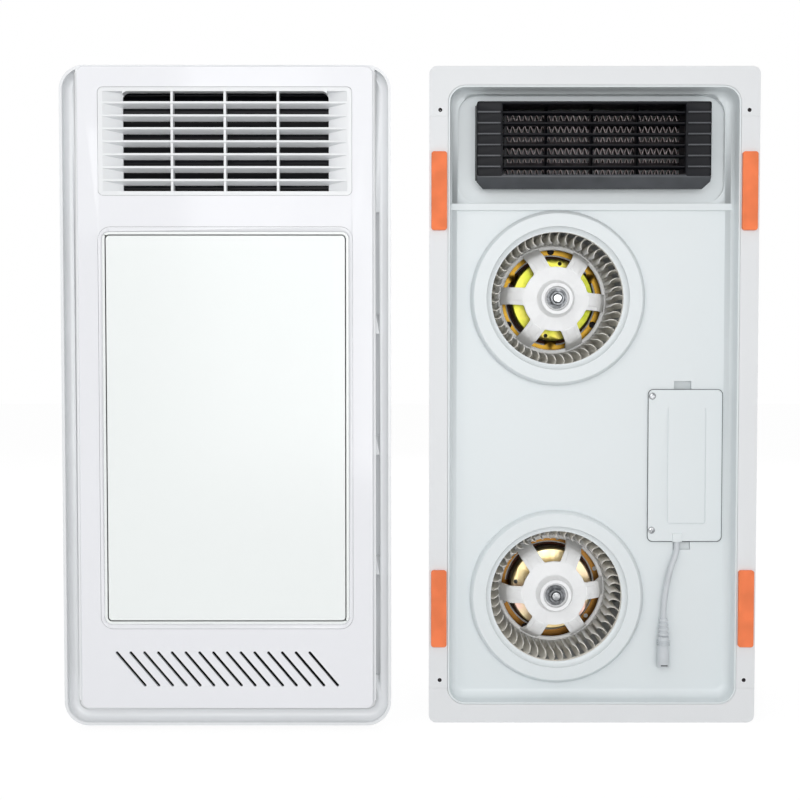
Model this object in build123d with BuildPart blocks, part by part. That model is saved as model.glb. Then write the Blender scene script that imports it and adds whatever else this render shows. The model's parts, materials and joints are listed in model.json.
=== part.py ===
from build123d import *
import os
from math import cos, pi, radians, sin, sqrt, tan

# A warm-air heater and extractor for a 300 x 600 ceiling opening, all sizes in millimetres.
# It stands upright: +X to the right and +Z up as seen from the room, +Y away from the room
# into the ceiling void. The origin is the middle of the ceiling opening, on the rear face
# of the flange. The front panel is off the chassis and stands at its left, at its own depth.

# Walls and clearances
sheet = 0.8
skin = 1.5
gap = 0.3
running = 0.05

# Housing
flange_width = 300.0
flange_height = 600.0
flange_corner = 7.0
mouth_width = 266.0
mouth_height = 566.0
mouth_corner = 16.0
box_depth = 150.0
top_join = 255.0
bottom_join = 268.0
fixing_x = 140.0
fixing_z = 260.5
fixing_radius = 1.6
cap_tab = 12.0
cap_screw_radius = 1.6
lug_width = 30.0
lug_reach = 13.0
lug_z = 140.0
lug_depth = 138.0
lug_hole_radius = 3.3
lug_thickness = 2.0

# Deck behind the mouth
deck_depth = 20.0
deck_cove = 8.0
collar_rise = 9.0
collar_radius = 80.5
collar_curl = 5.0
ridge_z = 175.0
ridge_width = 6.0
ridge_rise = 3.0
pocket_depth = 26.0
pocket_half_width = 123.0
pocket_top = 278.0
pocket_corner = 18.0
notch_x = 86.0
notch_width = 16.0
notch_reach = 8.0

# Cushion pads
pad_width = 14.2
pad_height = 71.0
pad_thickness = 3.2
pad_x = 140.9
pad_z = [187.5, -194.0]

# Fans
fan_x = -31.0
heat_fan_z = 91.0
exhaust_fan_z = -186.0
inlet_radius = 61.0
wheel_radius = 63.0
blade_inner_radius = 52.0
blade_count = 46
blade_thickness = 0.9
blade_step_radius = 57.5
blade_step = 5.0
wheel_front = 19.0
wheel_back = 72.0
wheel_ring = 4.0
hub_front = 31.0
hub_radius = 29.0
hub_skin = 2.0
spoke_bend_radius = 43.0
spoke_bend_depth = 39.0
web_radius = 51.0
web_depth = 64.0
boss_radius = 14.5
boss_foot = 18.0
boss_front = 19.0
boss_floor = 22.5
spoke_count = 6
spoke_width = 16.0
spoke_corner = 2.5
wheel_turn = {"heating": -4.4, "exhaust": 3.4}
spindle_radius = 4.0
spindle_front = 14.0
nut_flats = 13.0
nut_height = 6.0
scroll_front = deck_depth + skin
scroll_back = 76.0
scroll_start = 74.0
scroll_growth = 8.0
tongue_x = 14.0
bell_radius = 39.5
bell_front = 56.0
bell_hole_radius = 35.0
ear_radius = 50.5
ear_gap_radius = 43.7
ear_screw_radius = 47.0
motor_radius = 39.5
motor_length = 40.0

# Outlet louvre and heater
outlet_z = 234.6
outlet_width = 213.0
outlet_height = 68.5
outlet_front = 2.0
outlet_end = 23.5
outlet_wall = 2.5
outlet_rib_x = 42.0
outlet_groove = 1.3
lip_height = 9.5
lip_slant = 10.0
lip_corner = 6.0
swing_count = 6
swing_pitch = 9.85
swing_chord = 11.0
swing_thickness = 1.6
swing_depth = 9.0
swing_pin_radius = 1.5
crank_reach = 5.0
crank_pin_radius = 1.0
link_thickness = 2.0
duct_half_width = 116.0
duct_bottom = 171.0
duct_back = 112.0
core_front = 34.0
core_depth = 15.0
core_half_width = 84.0
fin_rows = 6
fin_height = 7.2
fin_folds = 28
bar_height = 5.0

# Junction box and light cable
lid_x = 88.3
lid_z = -64.2
lid_width = 68.6
lid_height = 141.4
lid_thickness = 2.2
tray_depth = 40.0
tray_wall = 1.8
tray_side_margin = 6.0
tray_end_margin = 4.0
lid_screw_x = -30.7
lid_screw_z = [64.7, -60.2]
cable_diameter = 5.5
cable_tilt = 22.0
cable_exit = (81.5, 20.2, -134.0)
bush_length = 3.0
bush_wall = 0.6
relief_length = 17.0
connector_length = 28.5
connector_radius = 6.0

# Exhaust duct
exhaust_exit_x = 72.0
duct_axis_z = -215.0
duct_axis_y = 76.0
duct_bore = 46.5
duct_wall = 1.6
duct_length = 22.0
flap_pin_reach = 37.0
flap_shoulder = 30.0
flap_pin_radius = 1.5
flap_thickness = 1.5

# Mains gland
mains_y = 118.0
mains_z = 40.0
gland_radius = 8.0
gland_bore = 4.5

# Front panel
panel_x = -332.0
panel_width = 295.0
panel_height = 592.0
panel_corner = 22.0
panel_back = -4.3
panel_rim_front = -24.0
panel_front = -26.3
panel_seat = -23.3
panel_skin = 2.5
channel_floor = -13.0
rim_wall = 2.6
plate_width = 263.0
plate_bottom = -280.0
plate_top = 294.6
plate_corner = 7.0
plate_ledge = 2.4
plate_lip = 0.8
channel_cove = 6.0
side_slot_width = 3.0
side_slot_floor = -8.0
side_slot_front = -19.5
groove_inset = 6.4
side_slot_length = 92.0
side_slot_pitch = 109.2
side_slot_first = 121.0
side_slot_count = 4
grille_z = 228.4
grille_width = 225.3
grille_height = 95.3
grille_corner = 4.5
grille_depth = 11.0
opening_width = 183.7
opening_height = 88.3
opening_corner = 6.0
slat_count = 7
slat_pitch = 11.4
slat_thickness = 1.8
slat_drop = 3.0
divider_pitch = 47.1
divider_width = 2.2
guide_depth = 9.5
vane_pitch = 7.5
light_z = -27.4
light_width = 226.4
light_height = 360.0
light_corner = 11.0
diffuser_width = 220.0
diffuser_height = 352.0
diffuser_thickness = 2.5
light_tray_depth = 12.0
slot_count = 15
slot_pitch = 12.4
slot_z = -244.0
slot_run = 25.0
slot_fall = 29.5
slot_width = 2.6
keeper_thickness = 0.8

# Places worked out from the sizes above
flange_front = -sheet
wall_x = mouth_width / 2
wall_z = mouth_height / 2
liner_width = mouth_width - 2 * gap
liner_height = mouth_height - 2 * gap
collar_front = deck_depth - collar_rise
scroll_centres = {"heating": heat_fan_z, "exhaust": exhaust_fan_z}
motor_back = scroll_back + motor_length
outlet_inner = outlet_width / 2 - outlet_end
swing_z = [outlet_z + swing_pitch * (swing_count / 2 - 0.5 - i) for i in range(swing_count)]
tray_width = lid_width - 2 * tray_side_margin
tray_height = lid_height - 2 * tray_end_margin
notch_height = tray_end_margin + notch_reach
duct_start = wall_x - 8.0
duct_end = wall_x + sheet + duct_length
flap_x = duct_end - flap_thickness - 2.0
flap_pin_place = (flap_x + flap_thickness / 2, duct_axis_y + flap_pin_reach)
cap_screw_places = [(y, end * (wall_z - cap_tab / 2)) for end in (-1, 1) for y in (60.0, 112.0)]
side_slots = [side_slot_first - side_slot_pitch * i for i in range(side_slot_count)]
plate_height = plate_top - plate_bottom
plate_z = (plate_top + plate_bottom) / 2

os.makedirs("parts", exist_ok=True)


def save(piece, name):
    piece.label = name
    export_step(piece, f"parts/{name}.step")


def facing(y, x=0.0, z=0.0):
    """Drawing plane at depth y seen from the room: X to the right, Z up, normal to the room."""
    return Plane(origin=(x, y, z), x_dir=(1, 0, 0), z_dir=(0, -1, 0))


def across(x, y=0.0, z=0.0):
    """Drawing plane at x seen from the right: depth Y to the right, Z up, normal to +X."""
    return Plane(origin=(x, y, z), x_dir=(0, 1, 0), z_dir=(1, 0, 0))


def level(z):
    """Drawing plane at height z: X to the right, depth Y up, normal to +Z."""
    return Plane.XY.offset(z)


def fan_axis(z):
    return Axis((fan_x, 0, z), (0, 1, 0))


# Housing: one sheet folded into the back, the two long walls and their front flanges
def make_housing_wrap():
    with BuildPart() as wrap:
        with BuildSketch(level(-wall_z)):
            with Locations((0, box_depth / 2)):
                Rectangle(mouth_width + 2 * sheet, box_depth)
            with Locations((0, box_depth / 2 - sheet)):
                Rectangle(mouth_width, box_depth, mode=Mode.SUBTRACT)
        extrude(amount=2 * wall_z)
        with BuildSketch(facing(0)):
            for side in (-1, 1):
                with Locations((side * (flange_width / 2 + wall_x) / 2, (top_join - bottom_join) / 2)):
                    Rectangle(flange_width / 2 - wall_x, top_join + bottom_join - gap)
            with Locations((-fixing_x, -fixing_z), (fixing_x, -fixing_z)):
                Circle(fixing_radius, mode=Mode.SUBTRACT)
        extrude(amount=sheet)
        with BuildSketch(across(wall_x)):
            with Locations((duct_axis_y, duct_axis_z)):
                Circle(duct_bore + duct_wall + gap)
            with Locations((mains_y, mains_z)):
                Circle(gland_radius + gap)
        extrude(amount=sheet, mode=Mode.SUBTRACT)
        with BuildSketch(across(-wall_x - sheet)):
            with Locations(*cap_screw_places):
                Circle(cap_screw_radius + gap)
        extrude(amount=mouth_width + 2 * sheet, mode=Mode.SUBTRACT)
    return wrap.part


def make_end_cap(end, join):
    """End wall with a U-shaped front flange; end is 1 at the top and -1 at the bottom."""
    with BuildPart() as cap:
        with BuildSketch(facing(0)) as flange:
            with Locations((0, end * (flange_height / 2 + join) / 2)):
                Rectangle(flange_width, flange_height / 2 - join)
            fillet(flange.vertices().group_by(Axis.Y)[-1 if end > 0 else 0], radius=flange_corner)
            RectangleRounded(mouth_width, mouth_height, mouth_corner, mode=Mode.SUBTRACT)
            if fixing_z > join:
                with Locations((-fixing_x, end * fixing_z), (fixing_x, end * fixing_z)):
                    Circle(fixing_radius, mode=Mode.SUBTRACT)
        extrude(amount=sheet)
        with BuildSketch(level(end * wall_z)):
            with Locations((0, box_depth / 2)):
                Rectangle(mouth_width + 2 * sheet, box_depth)
        extrude(amount=end * sheet)
        for side in (-1, 1):
            with BuildSketch(across(side * wall_x)):
                with Locations((box_depth / 2 + 10, end * (wall_z - cap_tab / 2))):
                    Rectangle(box_depth - 50, cap_tab)
                with Locations(*cap_screw_places):
                    Circle(cap_screw_radius + gap, mode=Mode.SUBTRACT)
            extrude(amount=-side * sheet)
    return cap.part


def make_cap_screws():
    with BuildPart() as screws:
        for side in (-1, 1):
            for radius, length in ((2 * cap_screw_radius, side * 1.4), (cap_screw_radius, -side * 5.0)):
                with BuildSketch(across(side * (wall_x + sheet))):
                    with Locations(*cap_screw_places):
                        Circle(radius)
                extrude(amount=length)
    return screws.part


def make_hanging_lugs():
    with BuildPart() as lugs:
        for side in (-1, 1):
            for z in (-lug_z, lug_z):
                with BuildSketch(level(z - lug_width / 2)):
                    with BuildLine():
                        foot = side * (wall_x + sheet)
                        Polyline(
                            (foot, lug_depth - lug_width),
                            (foot, lug_depth + lug_thickness),
                            (foot + side * lug_reach, lug_depth + lug_thickness),
                            (foot + side * lug_reach, lug_depth),
                            (foot + side * lug_thickness, lug_depth),
                            (foot + side * lug_thickness, lug_depth - lug_width),
                            close=True,
                        )
                    make_face()
                extrude(amount=lug_width)
        with BuildSketch(facing(lug_depth + lug_thickness)):
            with GridLocations(2 * lug_hole_x, 2 * lug_z, 2, 2):
                Circle(lug_hole_radius)
        extrude(amount=lug_thickness, mode=Mode.SUBTRACT)
    return lugs.part


lug_hole_x = wall_x + sheet + lug_reach / 2 + lug_thickness / 2


# Deck: a moulded pan with a louvre pocket, two raised fan inlets and a junction opening
def make_deck_liner():
    with BuildPart() as liner:
        with BuildSketch(facing(deck_depth + skin)):
            RectangleRounded(liner_width, liner_height, mouth_corner - gap)
        extrude(amount=deck_depth + skin - flange_front)
        with BuildSketch(facing(deck_depth)):
            RectangleRounded(liner_width - 2 * skin, liner_height - 2 * skin, mouth_corner - gap - skin)
        extrude(amount=deck_depth - flange_front, mode=Mode.SUBTRACT)
        floor_line = liner.edges().filter_by_position(Axis.Y, deck_depth - 0.01, deck_depth + 0.01)
        fillet(floor_line, radius=deck_cove)

        # louvre pocket, pressed further back above a ridge across the deck
        pocket_bottom = ridge_z + ridge_width / 2 + 1.0
        pocket_height = pocket_top - pocket_bottom
        pocket_middle = (pocket_top + pocket_bottom) / 2
        with BuildSketch(facing(pocket_depth + skin, 0, pocket_middle)):
            RectangleRounded(2 * (pocket_half_width + skin), pocket_height + 2 * skin, pocket_corner + skin)
        extrude(amount=pocket_depth - deck_depth)
        with BuildSketch(facing(pocket_depth, 0, pocket_middle)):
            RectangleRounded(2 * pocket_half_width, pocket_height, pocket_corner)
        extrude(amount=pocket_depth - flange_front, mode=Mode.SUBTRACT)
        with BuildSketch(facing(pocket_depth + skin, 0, outlet_z)):
            Rectangle(outlet_width + 2 * gap, outlet_height + 2 * gap)
        extrude(amount=2 * skin, mode=Mode.SUBTRACT)
        with BuildSketch(facing(deck_depth, 0, ridge_z)):
            RectangleRounded(liner_width - 2 * skin - 2 * gap, ridge_width, ridge_width / 2 - gap)
        extrude(amount=ridge_rise)

        # notches above and below the junction lid
        for end in (-1, 1):
            notch_z = lid_z + end * (tray_height + notch_height) / 2
            with BuildSketch(facing(pocket_depth, notch_x, notch_z)):
                Rectangle(notch_width + 2 * skin, notch_height + 2 * skin)
            extrude(amount=pocket_depth - deck_depth)
        for end in (-1, 1):
            notch_z = lid_z + end * (tray_height + notch_height) / 2
            with BuildSketch(facing(pocket_depth - skin, notch_x, notch_z)):
                Rectangle(notch_width, notch_height)
            extrude(amount=pocket_depth, mode=Mode.SUBTRACT)
        with BuildSketch(facing(pocket_depth, lid_x, lid_z)):
            Rectangle(tray_width, tray_height)
            with Locations(*[(lid_screw_x, z) for z in lid_screw_z]):
                Circle(cap_screw_radius + gap)
        extrude(amount=pocket_depth, mode=Mode.SUBTRACT)

        # each inlet is a hollow raised collar whose mouth curls inwards
        for z in scroll_centres.values():
            with BuildSketch(facing(pocket_depth, fan_x, z)):
                Circle(collar_radius - skin)
            extrude(amount=pocket_depth - collar_front, mode=Mode.SUBTRACT)
        for z in scroll_centres.values():
            with BuildSketch(level(z)):
                with BuildLine():
                    Polyline(
                        (fan_x + collar_radius, scroll_front),
                        (fan_x + collar_radius, collar_front + 3.0),
                        (fan_x + collar_radius - 3.0, collar_front),
                        (fan_x + inlet_radius + collar_curl, collar_front),
                    )
                    RadiusArc(
                        (fan_x + inlet_radius + collar_curl, collar_front),
                        (fan_x + inlet_radius, collar_front + collar_curl),
                        -collar_curl,
                    )
                    Line(
                        (fan_x + inlet_radius, collar_front + collar_curl),
                        (fan_x + inlet_radius + skin, collar_front + collar_curl),
                    )
                    RadiusArc(
                        (fan_x + inlet_radius + skin, collar_front + collar_curl),
                        (fan_x + inlet_radius + collar_curl, collar_front + skin),
                        collar_curl - skin,
                    )
                    Polyline(
                        (fan_x + inlet_radius + collar_curl, collar_front + skin),
                        (fan_x + collar_radius - 3.5, collar_front + skin),
                        (fan_x + collar_radius - skin, collar_front + 3.5),
                        (fan_x + collar_radius - skin, scroll_front),
                        (fan_x + collar_radius, scroll_front),
                    )
                make_face()
            revolve(axis=fan_axis(z))
    return liner.part


def make_cushion_pads():
    with BuildPart() as pads:
        with BuildSketch(facing(flange_front)):
            for side in (-1, 1):
                with Locations(*[(side * pad_x, z) for z in pad_z]):
                    RectangleRounded(pad_width, pad_height, 2.5)
        extrude(amount=pad_thickness)
        fillet(pads.faces().sort_by(Axis.Y)[:4].edges(), radius=0.7)
    return pads.part


# Fans: a spiral scroll, a squirrel-cage wheel on its spindle and a motor with a gold end bell
def scroll_plane(name, y):
    """The scroll's outlet is drawn upwards; the exhaust scroll is turned to blow to the right."""
    turn = (1, 0, 0) if name == "heating" else (0, 0, -1)
    return Plane(origin=(fan_x, y, scroll_centres[name]), x_dir=turn, z_dir=(0, -1, 0))


def scroll_outline(outlet):
    """Air path: three quarter arcs of growing radius, a straight outlet and a rounded tongue."""
    half = scroll_growth / 2
    curl = 6.0
    top = scroll_start - half
    with BuildSketch() as outline:
        with BuildLine():
            CenterArc((-half, -half), scroll_start, 90, 90)
            CenterArc((half, -half), scroll_start + scroll_growth, 180, 90)
            CenterArc((half, half), scroll_start + 2 * scroll_growth, 270, 90)
            right = half + scroll_start + 2 * scroll_growth
            Polyline((right, half), (right, outlet), (tongue_x, outlet), (tongue_x, top + curl))
            RadiusArc((tongue_x, top + curl), (tongue_x - curl, top), curl)
            Line((tongue_x - curl, top), (-half, top))
        make_face()
    return outline.sketch


def make_scroll(name, outlet):
    path = scroll_outline(outlet + 2 * skin)
    with BuildPart() as scroll:
        with BuildSketch(scroll_plane(name, scroll_back)):
            add(path)
            offset(amount=skin)
            add(path, mode=Mode.SUBTRACT)
            with Locations((0, outlet + 10 * skin)):
                Rectangle(4 * scroll_start, 20 * skin, mode=Mode.SUBTRACT)
        extrude(amount=scroll_back - scroll_front)
        with BuildSketch(scroll_plane(name, scroll_back + skin)):
            add(path)
            offset(amount=skin)
            Circle(motor_radius + 2 * skin, mode=Mode.SUBTRACT)
            with PolarLocations(ear_screw_radius, 3, start_angle=90):
                Circle(cap_screw_radius + gap, mode=Mode.SUBTRACT)
            with Locations((0, outlet + 10 * skin)):
                Rectangle(4 * scroll_start, 20 * skin, mode=Mode.SUBTRACT)
        extrude(amount=skin)
    return scroll.part


def make_motor(z):
    """Round can with a rear bearing boss and a stator that fills the end bell, bored for the spindle."""
    stator_radius = bell_radius - sheet - gap
    stator_front = bell_front + 6 + gap
    with BuildPart() as motor:
        with BuildSketch(level(z)):
            with BuildLine():
                Polyline(
                    (fan_x + spindle_radius + running, stator_front),
                    (fan_x + stator_radius, stator_front),
                    (fan_x + stator_radius, scroll_back),
                    (fan_x + motor_radius, scroll_back),
                    (fan_x + motor_radius, motor_back - 4),
                    (fan_x + motor_radius - 4, motor_back),
                    (fan_x + 11, motor_back),
                    (fan_x + 10, motor_back + 5),
                    (fan_x + spindle_radius + running, motor_back + 5),
                    close=True,
                )
            make_face()
        revolve(axis=fan_axis(z))
    return motor.part


def make_motor_bell(name):
    """Pressed end bell with a front bearing boss, three arms and a mounting ring with ears."""
    z = scroll_centres[name]
    with BuildPart() as bell:
        with BuildSketch(level(z)):
            with BuildLine():
                Polyline(
                    (fan_x + spindle_radius + running, bell_front - 5),
                    (fan_x + 9, bell_front - 5),
                    (fan_x + 10, bell_front),
                    (fan_x + bell_radius - 2, bell_front),
                    (fan_x + bell_radius, bell_front + 3),
                    (fan_x + bell_radius, scroll_back),
                    (fan_x + bell_radius - sheet, scroll_back),
                    (fan_x + bell_radius - sheet, bell_front + 3),
                    (fan_x + bell_radius - 2, bell_front + sheet),
                    (fan_x + spindle_radius + running, bell_front + sheet),
                    close=True,
                )
            make_face()
        revolve(axis=fan_axis(z))
        with BuildSketch(scroll_plane(name, scroll_back)):
            Circle(ear_radius)
            Circle(ear_gap_radius, mode=Mode.SUBTRACT)
            with PolarLocations((bell_radius + ear_gap_radius) / 2, 3, start_angle=30):
                Rectangle(ear_gap_radius - bell_radius + 3, 11)
            with PolarLocations(ear_screw_radius, 3, start_angle=90):
                Circle(cap_screw_radius + gap, mode=Mode.SUBTRACT)
            with PolarLocations(ear_screw_radius, 6, start_angle=50):
                Circle(2.2, mode=Mode.SUBTRACT)
            Circle(bell_radius - sheet / 2, mode=Mode.SUBTRACT)
        extrude(amount=1.2)
        with BuildSketch(scroll_plane(name, bell_front + 3)):
            with PolarLocations(bell_hole_radius, 2, start_angle=79):
                Circle(2.0)
        extrude(amount=6, mode=Mode.SUBTRACT)
    return bell.part


def make_motor_screws():
    with BuildPart() as screws:
        for name in scroll_centres:
            for y, radius, length in (
                (scroll_back - 1.2, 2.9, 1.6),
                (scroll_back + 4.0, cap_screw_radius, 5.2),
            ):
                with BuildSketch(scroll_plane(name, y)):
                    with PolarLocations(ear_screw_radius, 3, start_angle=90):
                        Circle(radius)
                extrude(amount=length)
    return screws.part


def make_wheel(name):
    """Wheel with a six-spoke hub whose spokes bend back, a back ring, curved blades and a front ring."""
    z = scroll_centres[name]
    hub_back = hub_front + hub_skin
    with BuildPart() as wheel:
        with BuildSketch(level(z)):
            with BuildLine():
                Polyline(
                    (fan_x + spindle_radius, boss_floor),
                    (fan_x + boss_radius - 4, boss_floor),
                    (fan_x + boss_radius - 3, boss_front),
                    (fan_x + boss_radius, boss_front),
                    (fan_x + boss_foot, hub_front),
                    (fan_x + hub_radius, hub_front),
                    (fan_x + spoke_bend_radius, spoke_bend_depth),
                    (fan_x + web_radius, web_depth),
                    (fan_x + web_radius + 9, wheel_back - hub_skin),
                    (fan_x + wheel_radius, wheel_back - hub_skin),
                    (fan_x + wheel_radius, wheel_back),
                    (fan_x + web_radius + 8, wheel_back),
                    (fan_x + web_radius - 1, web_depth + hub_skin),
                    (fan_x + spoke_bend_radius - 2, spoke_bend_depth + hub_skin),
                    (fan_x + hub_radius - 1, hub_back),
                    (fan_x + 10, hub_back),
                    (fan_x + 9, hub_back + 8),
                    (fan_x + spindle_radius, hub_back + 8),
                    close=True,
                )
            make_face()
        revolve(axis=fan_axis(z))
        with BuildSketch(facing(wheel_back + 1, fan_x, z)) as windows:
            Circle(web_radius - 0.5)
            Circle(hub_radius + 1, mode=Mode.SUBTRACT)
            with PolarLocations(web_radius / 2, spoke_count, start_angle=wheel_turn[name]):
                Rectangle(web_radius * 1.2, spoke_width, mode=Mode.SUBTRACT)
            fillet(windows.vertices(), radius=spoke_corner)
        extrude(amount=wheel_back + 1 - hub_front, mode=Mode.SUBTRACT)
        with BuildSketch(facing(wheel_back - hub_skin / 2, fan_x, z)):
            with PolarLocations(0, blade_count):
                add(blade_section())
        extrude(amount=wheel_back - hub_skin / 2 - wheel_front - 1)
        # the blades' inner corners are cut back at the inlet
        with BuildSketch(level(z)):
            with BuildLine():
                Polyline(
                    (fan_x + web_radius - 4, wheel_front),
                    (fan_x + blade_step_radius, wheel_front),
                    (fan_x + blade_step_radius, wheel_front + blade_step),
                    (fan_x + blade_inner_radius, wheel_front + 2.4 * blade_step),
                    (fan_x + web_radius - 4, wheel_front + 2.4 * blade_step),
                    close=True,
                )
            make_face()
        revolve(axis=fan_axis(z), mode=Mode.SUBTRACT)
        with BuildSketch(facing(wheel_front + wheel_ring, fan_x, z)):
            Circle(wheel_radius)
            Circle(wheel_radius - 2.0, mode=Mode.SUBTRACT)
        extrude(amount=wheel_ring)
    return wheel.part


def blade_section():
    """One forward-curved blade as a thin arc between two radii, on the X axis of the wheel."""
    outer = wheel_radius - 0.6
    lean = 3.2
    middle = (blade_inner_radius + outer) / 2
    half = blade_thickness / 2
    with BuildSketch() as section:
        with BuildLine():
            ThreePointArc((blade_inner_radius, -half), (middle, lean - half), (outer, -half))
            Line((outer, -half), (outer, half))
            ThreePointArc((outer, half), (middle, lean + half), (blade_inner_radius, half))
            Line((blade_inner_radius, half), (blade_inner_radius, -half))
        make_face()
    return section.sketch


def make_spindle(z):
    with BuildPart() as spindle:
        with BuildSketch(facing(motor_back + 3, fan_x, z)):
            Circle(spindle_radius)
        extrude(amount=motor_back + 3 - spindle_front)
        chamfer(spindle.faces().sort_by(Axis.Y)[0].edges(), length=0.6)
    return spindle.part


def make_nut(z):
    seat = boss_floor
    with BuildPart() as nut:
        with BuildSketch(facing(seat, fan_x, z)):
            Circle(9.5)
            Circle(spindle_radius, mode=Mode.SUBTRACT)
        extrude(amount=1)
        with BuildSketch(facing(seat - 1, fan_x, z)):
            RegularPolygon(nut_flats / sqrt(3), 6)
            Circle(spindle_radius, mode=Mode.SUBTRACT)
        extrude(amount=nut_height)
    return nut.part


# Outlet: hot-air duct, heater core, black outlet frame, six swing blades and their link bar
def make_hot_air_duct():
    top = liner_height / 2 - 1
    with BuildPart() as duct:
        with BuildSketch(facing(duct_back, 0, (top + duct_bottom) / 2)):
            Rectangle(2 * duct_half_width, top - duct_bottom)
        extrude(amount=duct_back - pocket_depth - skin)
        with BuildSketch(facing(duct_back - skin, 0, (top + duct_bottom) / 2)):
            Rectangle(2 * duct_half_width - 2 * skin, top - duct_bottom - 2 * skin)
        extrude(amount=duct_back, mode=Mode.SUBTRACT)
        half = scroll_growth / 2
        left = fan_x + tongue_x
        right = fan_x + half + scroll_start + 2 * scroll_growth
        with BuildSketch(level(duct_bottom)):
            with Locations(((left + right) / 2, (pocket_depth + skin + scroll_back) / 2)):
                Rectangle(right - left, scroll_back - pocket_depth - 2 * skin)
        extrude(amount=skin, mode=Mode.SUBTRACT)
    return duct.part


def core_rows():
    """Heights of the fin rows and of the bars that lie between pairs of them."""
    bars = fin_rows // 2
    total = fin_rows * fin_height + bars * bar_height
    z = outlet_z + total / 2
    fins, heaters = [], []
    for pair in range(bars):
        fins.append(z - fin_height / 2)
        heaters.append(z - fin_height - bar_height / 2)
        fins.append(z - fin_height - bar_height - fin_height / 2)
        z -= 2 * fin_height + bar_height
    return fins, heaters


def make_heater_frame():
    fins, heaters = core_rows()
    core_height = fin_rows * fin_height + len(heaters) * bar_height
    inner_width = duct_half_width - skin
    with BuildPart() as frame:
        with BuildSketch(facing(core_front + core_depth, 0, outlet_z)):
            Rectangle(2 * core_half_width + 24, core_height + 4)
            Rectangle(2 * core_half_width + 20, core_height, mode=Mode.SUBTRACT)
        extrude(amount=core_depth)
        with BuildSketch(facing(core_front + core_depth, 0, outlet_z)):
            Rectangle(2 * inner_width, core_height + 4)
            Rectangle(2 * core_half_width + 20, core_height, mode=Mode.SUBTRACT)
        extrude(amount=1.5)
    return frame.part


def make_heater_fins():
    """Each row is one strip folded into a zigzag between the bars."""
    fins, heaters = core_rows()
    strip = 0.5
    with BuildPart() as rows:
        for z in fins:
            low = z - fin_height / 2
            high = z + fin_height / 2 - strip
            step = 2 * core_half_width / fin_folds
            folds = [
                (-core_half_width + step * i, low if i % 2 else high) for i in range(fin_folds + 1)
            ]
            back = [(x, height + strip) for x, height in reversed(folds)]
            with BuildSketch(facing(core_front + core_depth - 1)):
                with BuildLine():
                    Polyline(*folds, *back, close=True)
                make_face()
            extrude(amount=core_depth - 2)
    return rows.part


def make_heater_bars():
    """Flat heating tubes with a bright terminal blade at the right end of each."""
    fins, heaters = core_rows()
    end = core_half_width + 10
    with BuildPart() as bars:
        with BuildSketch(facing(core_front + core_depth - 0.5)):
            with Locations(*[(0, z) for z in heaters]):
                RectangleRounded(2 * end, bar_height, 1.2)
        extrude(amount=core_depth - 1)
        with BuildSketch(facing(core_front + 4)):
            with Locations(*[(end - 12, z) for z in heaters]):
                Rectangle(8, 2.0)
        extrude(amount=7)
    return bars.part


def make_outlet_frame():
    half_width = outlet_width / 2
    rear = pocket_depth + skin + 3.0
    flange_rear = pocket_depth + skin + 1.8
    with BuildPart() as frame:
        with BuildSketch(facing(rear, 0, outlet_z)):
            RectangleRounded(outlet_width, outlet_height, 2.0)
            Rectangle(2 * outlet_inner, outlet_height - 2 * outlet_wall, mode=Mode.SUBTRACT)
        extrude(amount=rear - outlet_front)
        with BuildSketch(facing(flange_rear, 0, outlet_z)):
            Rectangle(outlet_width + 12, outlet_height + 9)
            Rectangle(outlet_width - 1, outlet_height - 1, mode=Mode.SUBTRACT)
        extrude(amount=1.8)
        # hollow ends, open at the rear
        for side in (-1, 1):
            middle = side * (half_width + outlet_inner) / 2
            with BuildSketch(facing(rear, middle, outlet_z)):
                Rectangle(outlet_end - 2 * outlet_wall, outlet_height - 2 * outlet_wall)
            extrude(amount=rear - outlet_front - outlet_wall, mode=Mode.SUBTRACT)
            # shallow panels that leave ribs in line with the blades
            with BuildSketch(facing(outlet_front, middle, outlet_z)):
                with Locations(*[(0, swing_pitch * (i - swing_count / 2)) for i in range(swing_count + 1)]):
                    Rectangle(outlet_end - 3.0, swing_pitch - swing_thickness - 0.6)
            extrude(amount=-outlet_groove, mode=Mode.SUBTRACT)
        # slanted lip below the opening, its lower corners cut off
        low = outlet_z - outlet_height / 2
        with BuildSketch(across(-half_width)):
            with BuildLine():
                Polyline(
                    (outlet_front, low + 1.0),
                    (outlet_front, low),
                    (outlet_front + lip_slant, low - lip_height),
                    (outlet_front + lip_slant + outlet_wall, low - lip_height),
                    (outlet_front + outlet_wall + 1.0, low + 1.0),
                    close=True,
                )
            make_face()
        extrude(amount=outlet_width)
        with BuildSketch(facing(rear)):
            for side in (-1, 1):
                with BuildLine():
                    Polyline(
                        (side * (half_width + 1), low - lip_height + lip_corner + 1),
                        (side * (half_width + 1), low - lip_height - 1),
                        (side * (half_width - lip_corner - 1), low - lip_height - 1),
                        close=True,
                    )
                make_face()
        extrude(amount=rear, mode=Mode.SUBTRACT)
        # bearings of the swing blades in the inner end walls
        with BuildSketch(across(-outlet_inner - outlet_wall - 1)):
            with Locations(*[(swing_depth, z) for z in swing_z]):
                Circle(swing_pin_radius + running)
        extrude(amount=2 * (outlet_inner + outlet_wall + 1), mode=Mode.SUBTRACT)
        # upright ribs behind the blades
        with BuildSketch(facing(rear - 1, 0, outlet_z)):
            with Locations((-outlet_rib_x, 0), (0, 0), (outlet_rib_x, 0)):
                Rectangle(2.0, outlet_height - outlet_wall)
        extrude(amount=rear - 1 - swing_depth - crank_reach - 4)
    return frame.part


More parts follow.
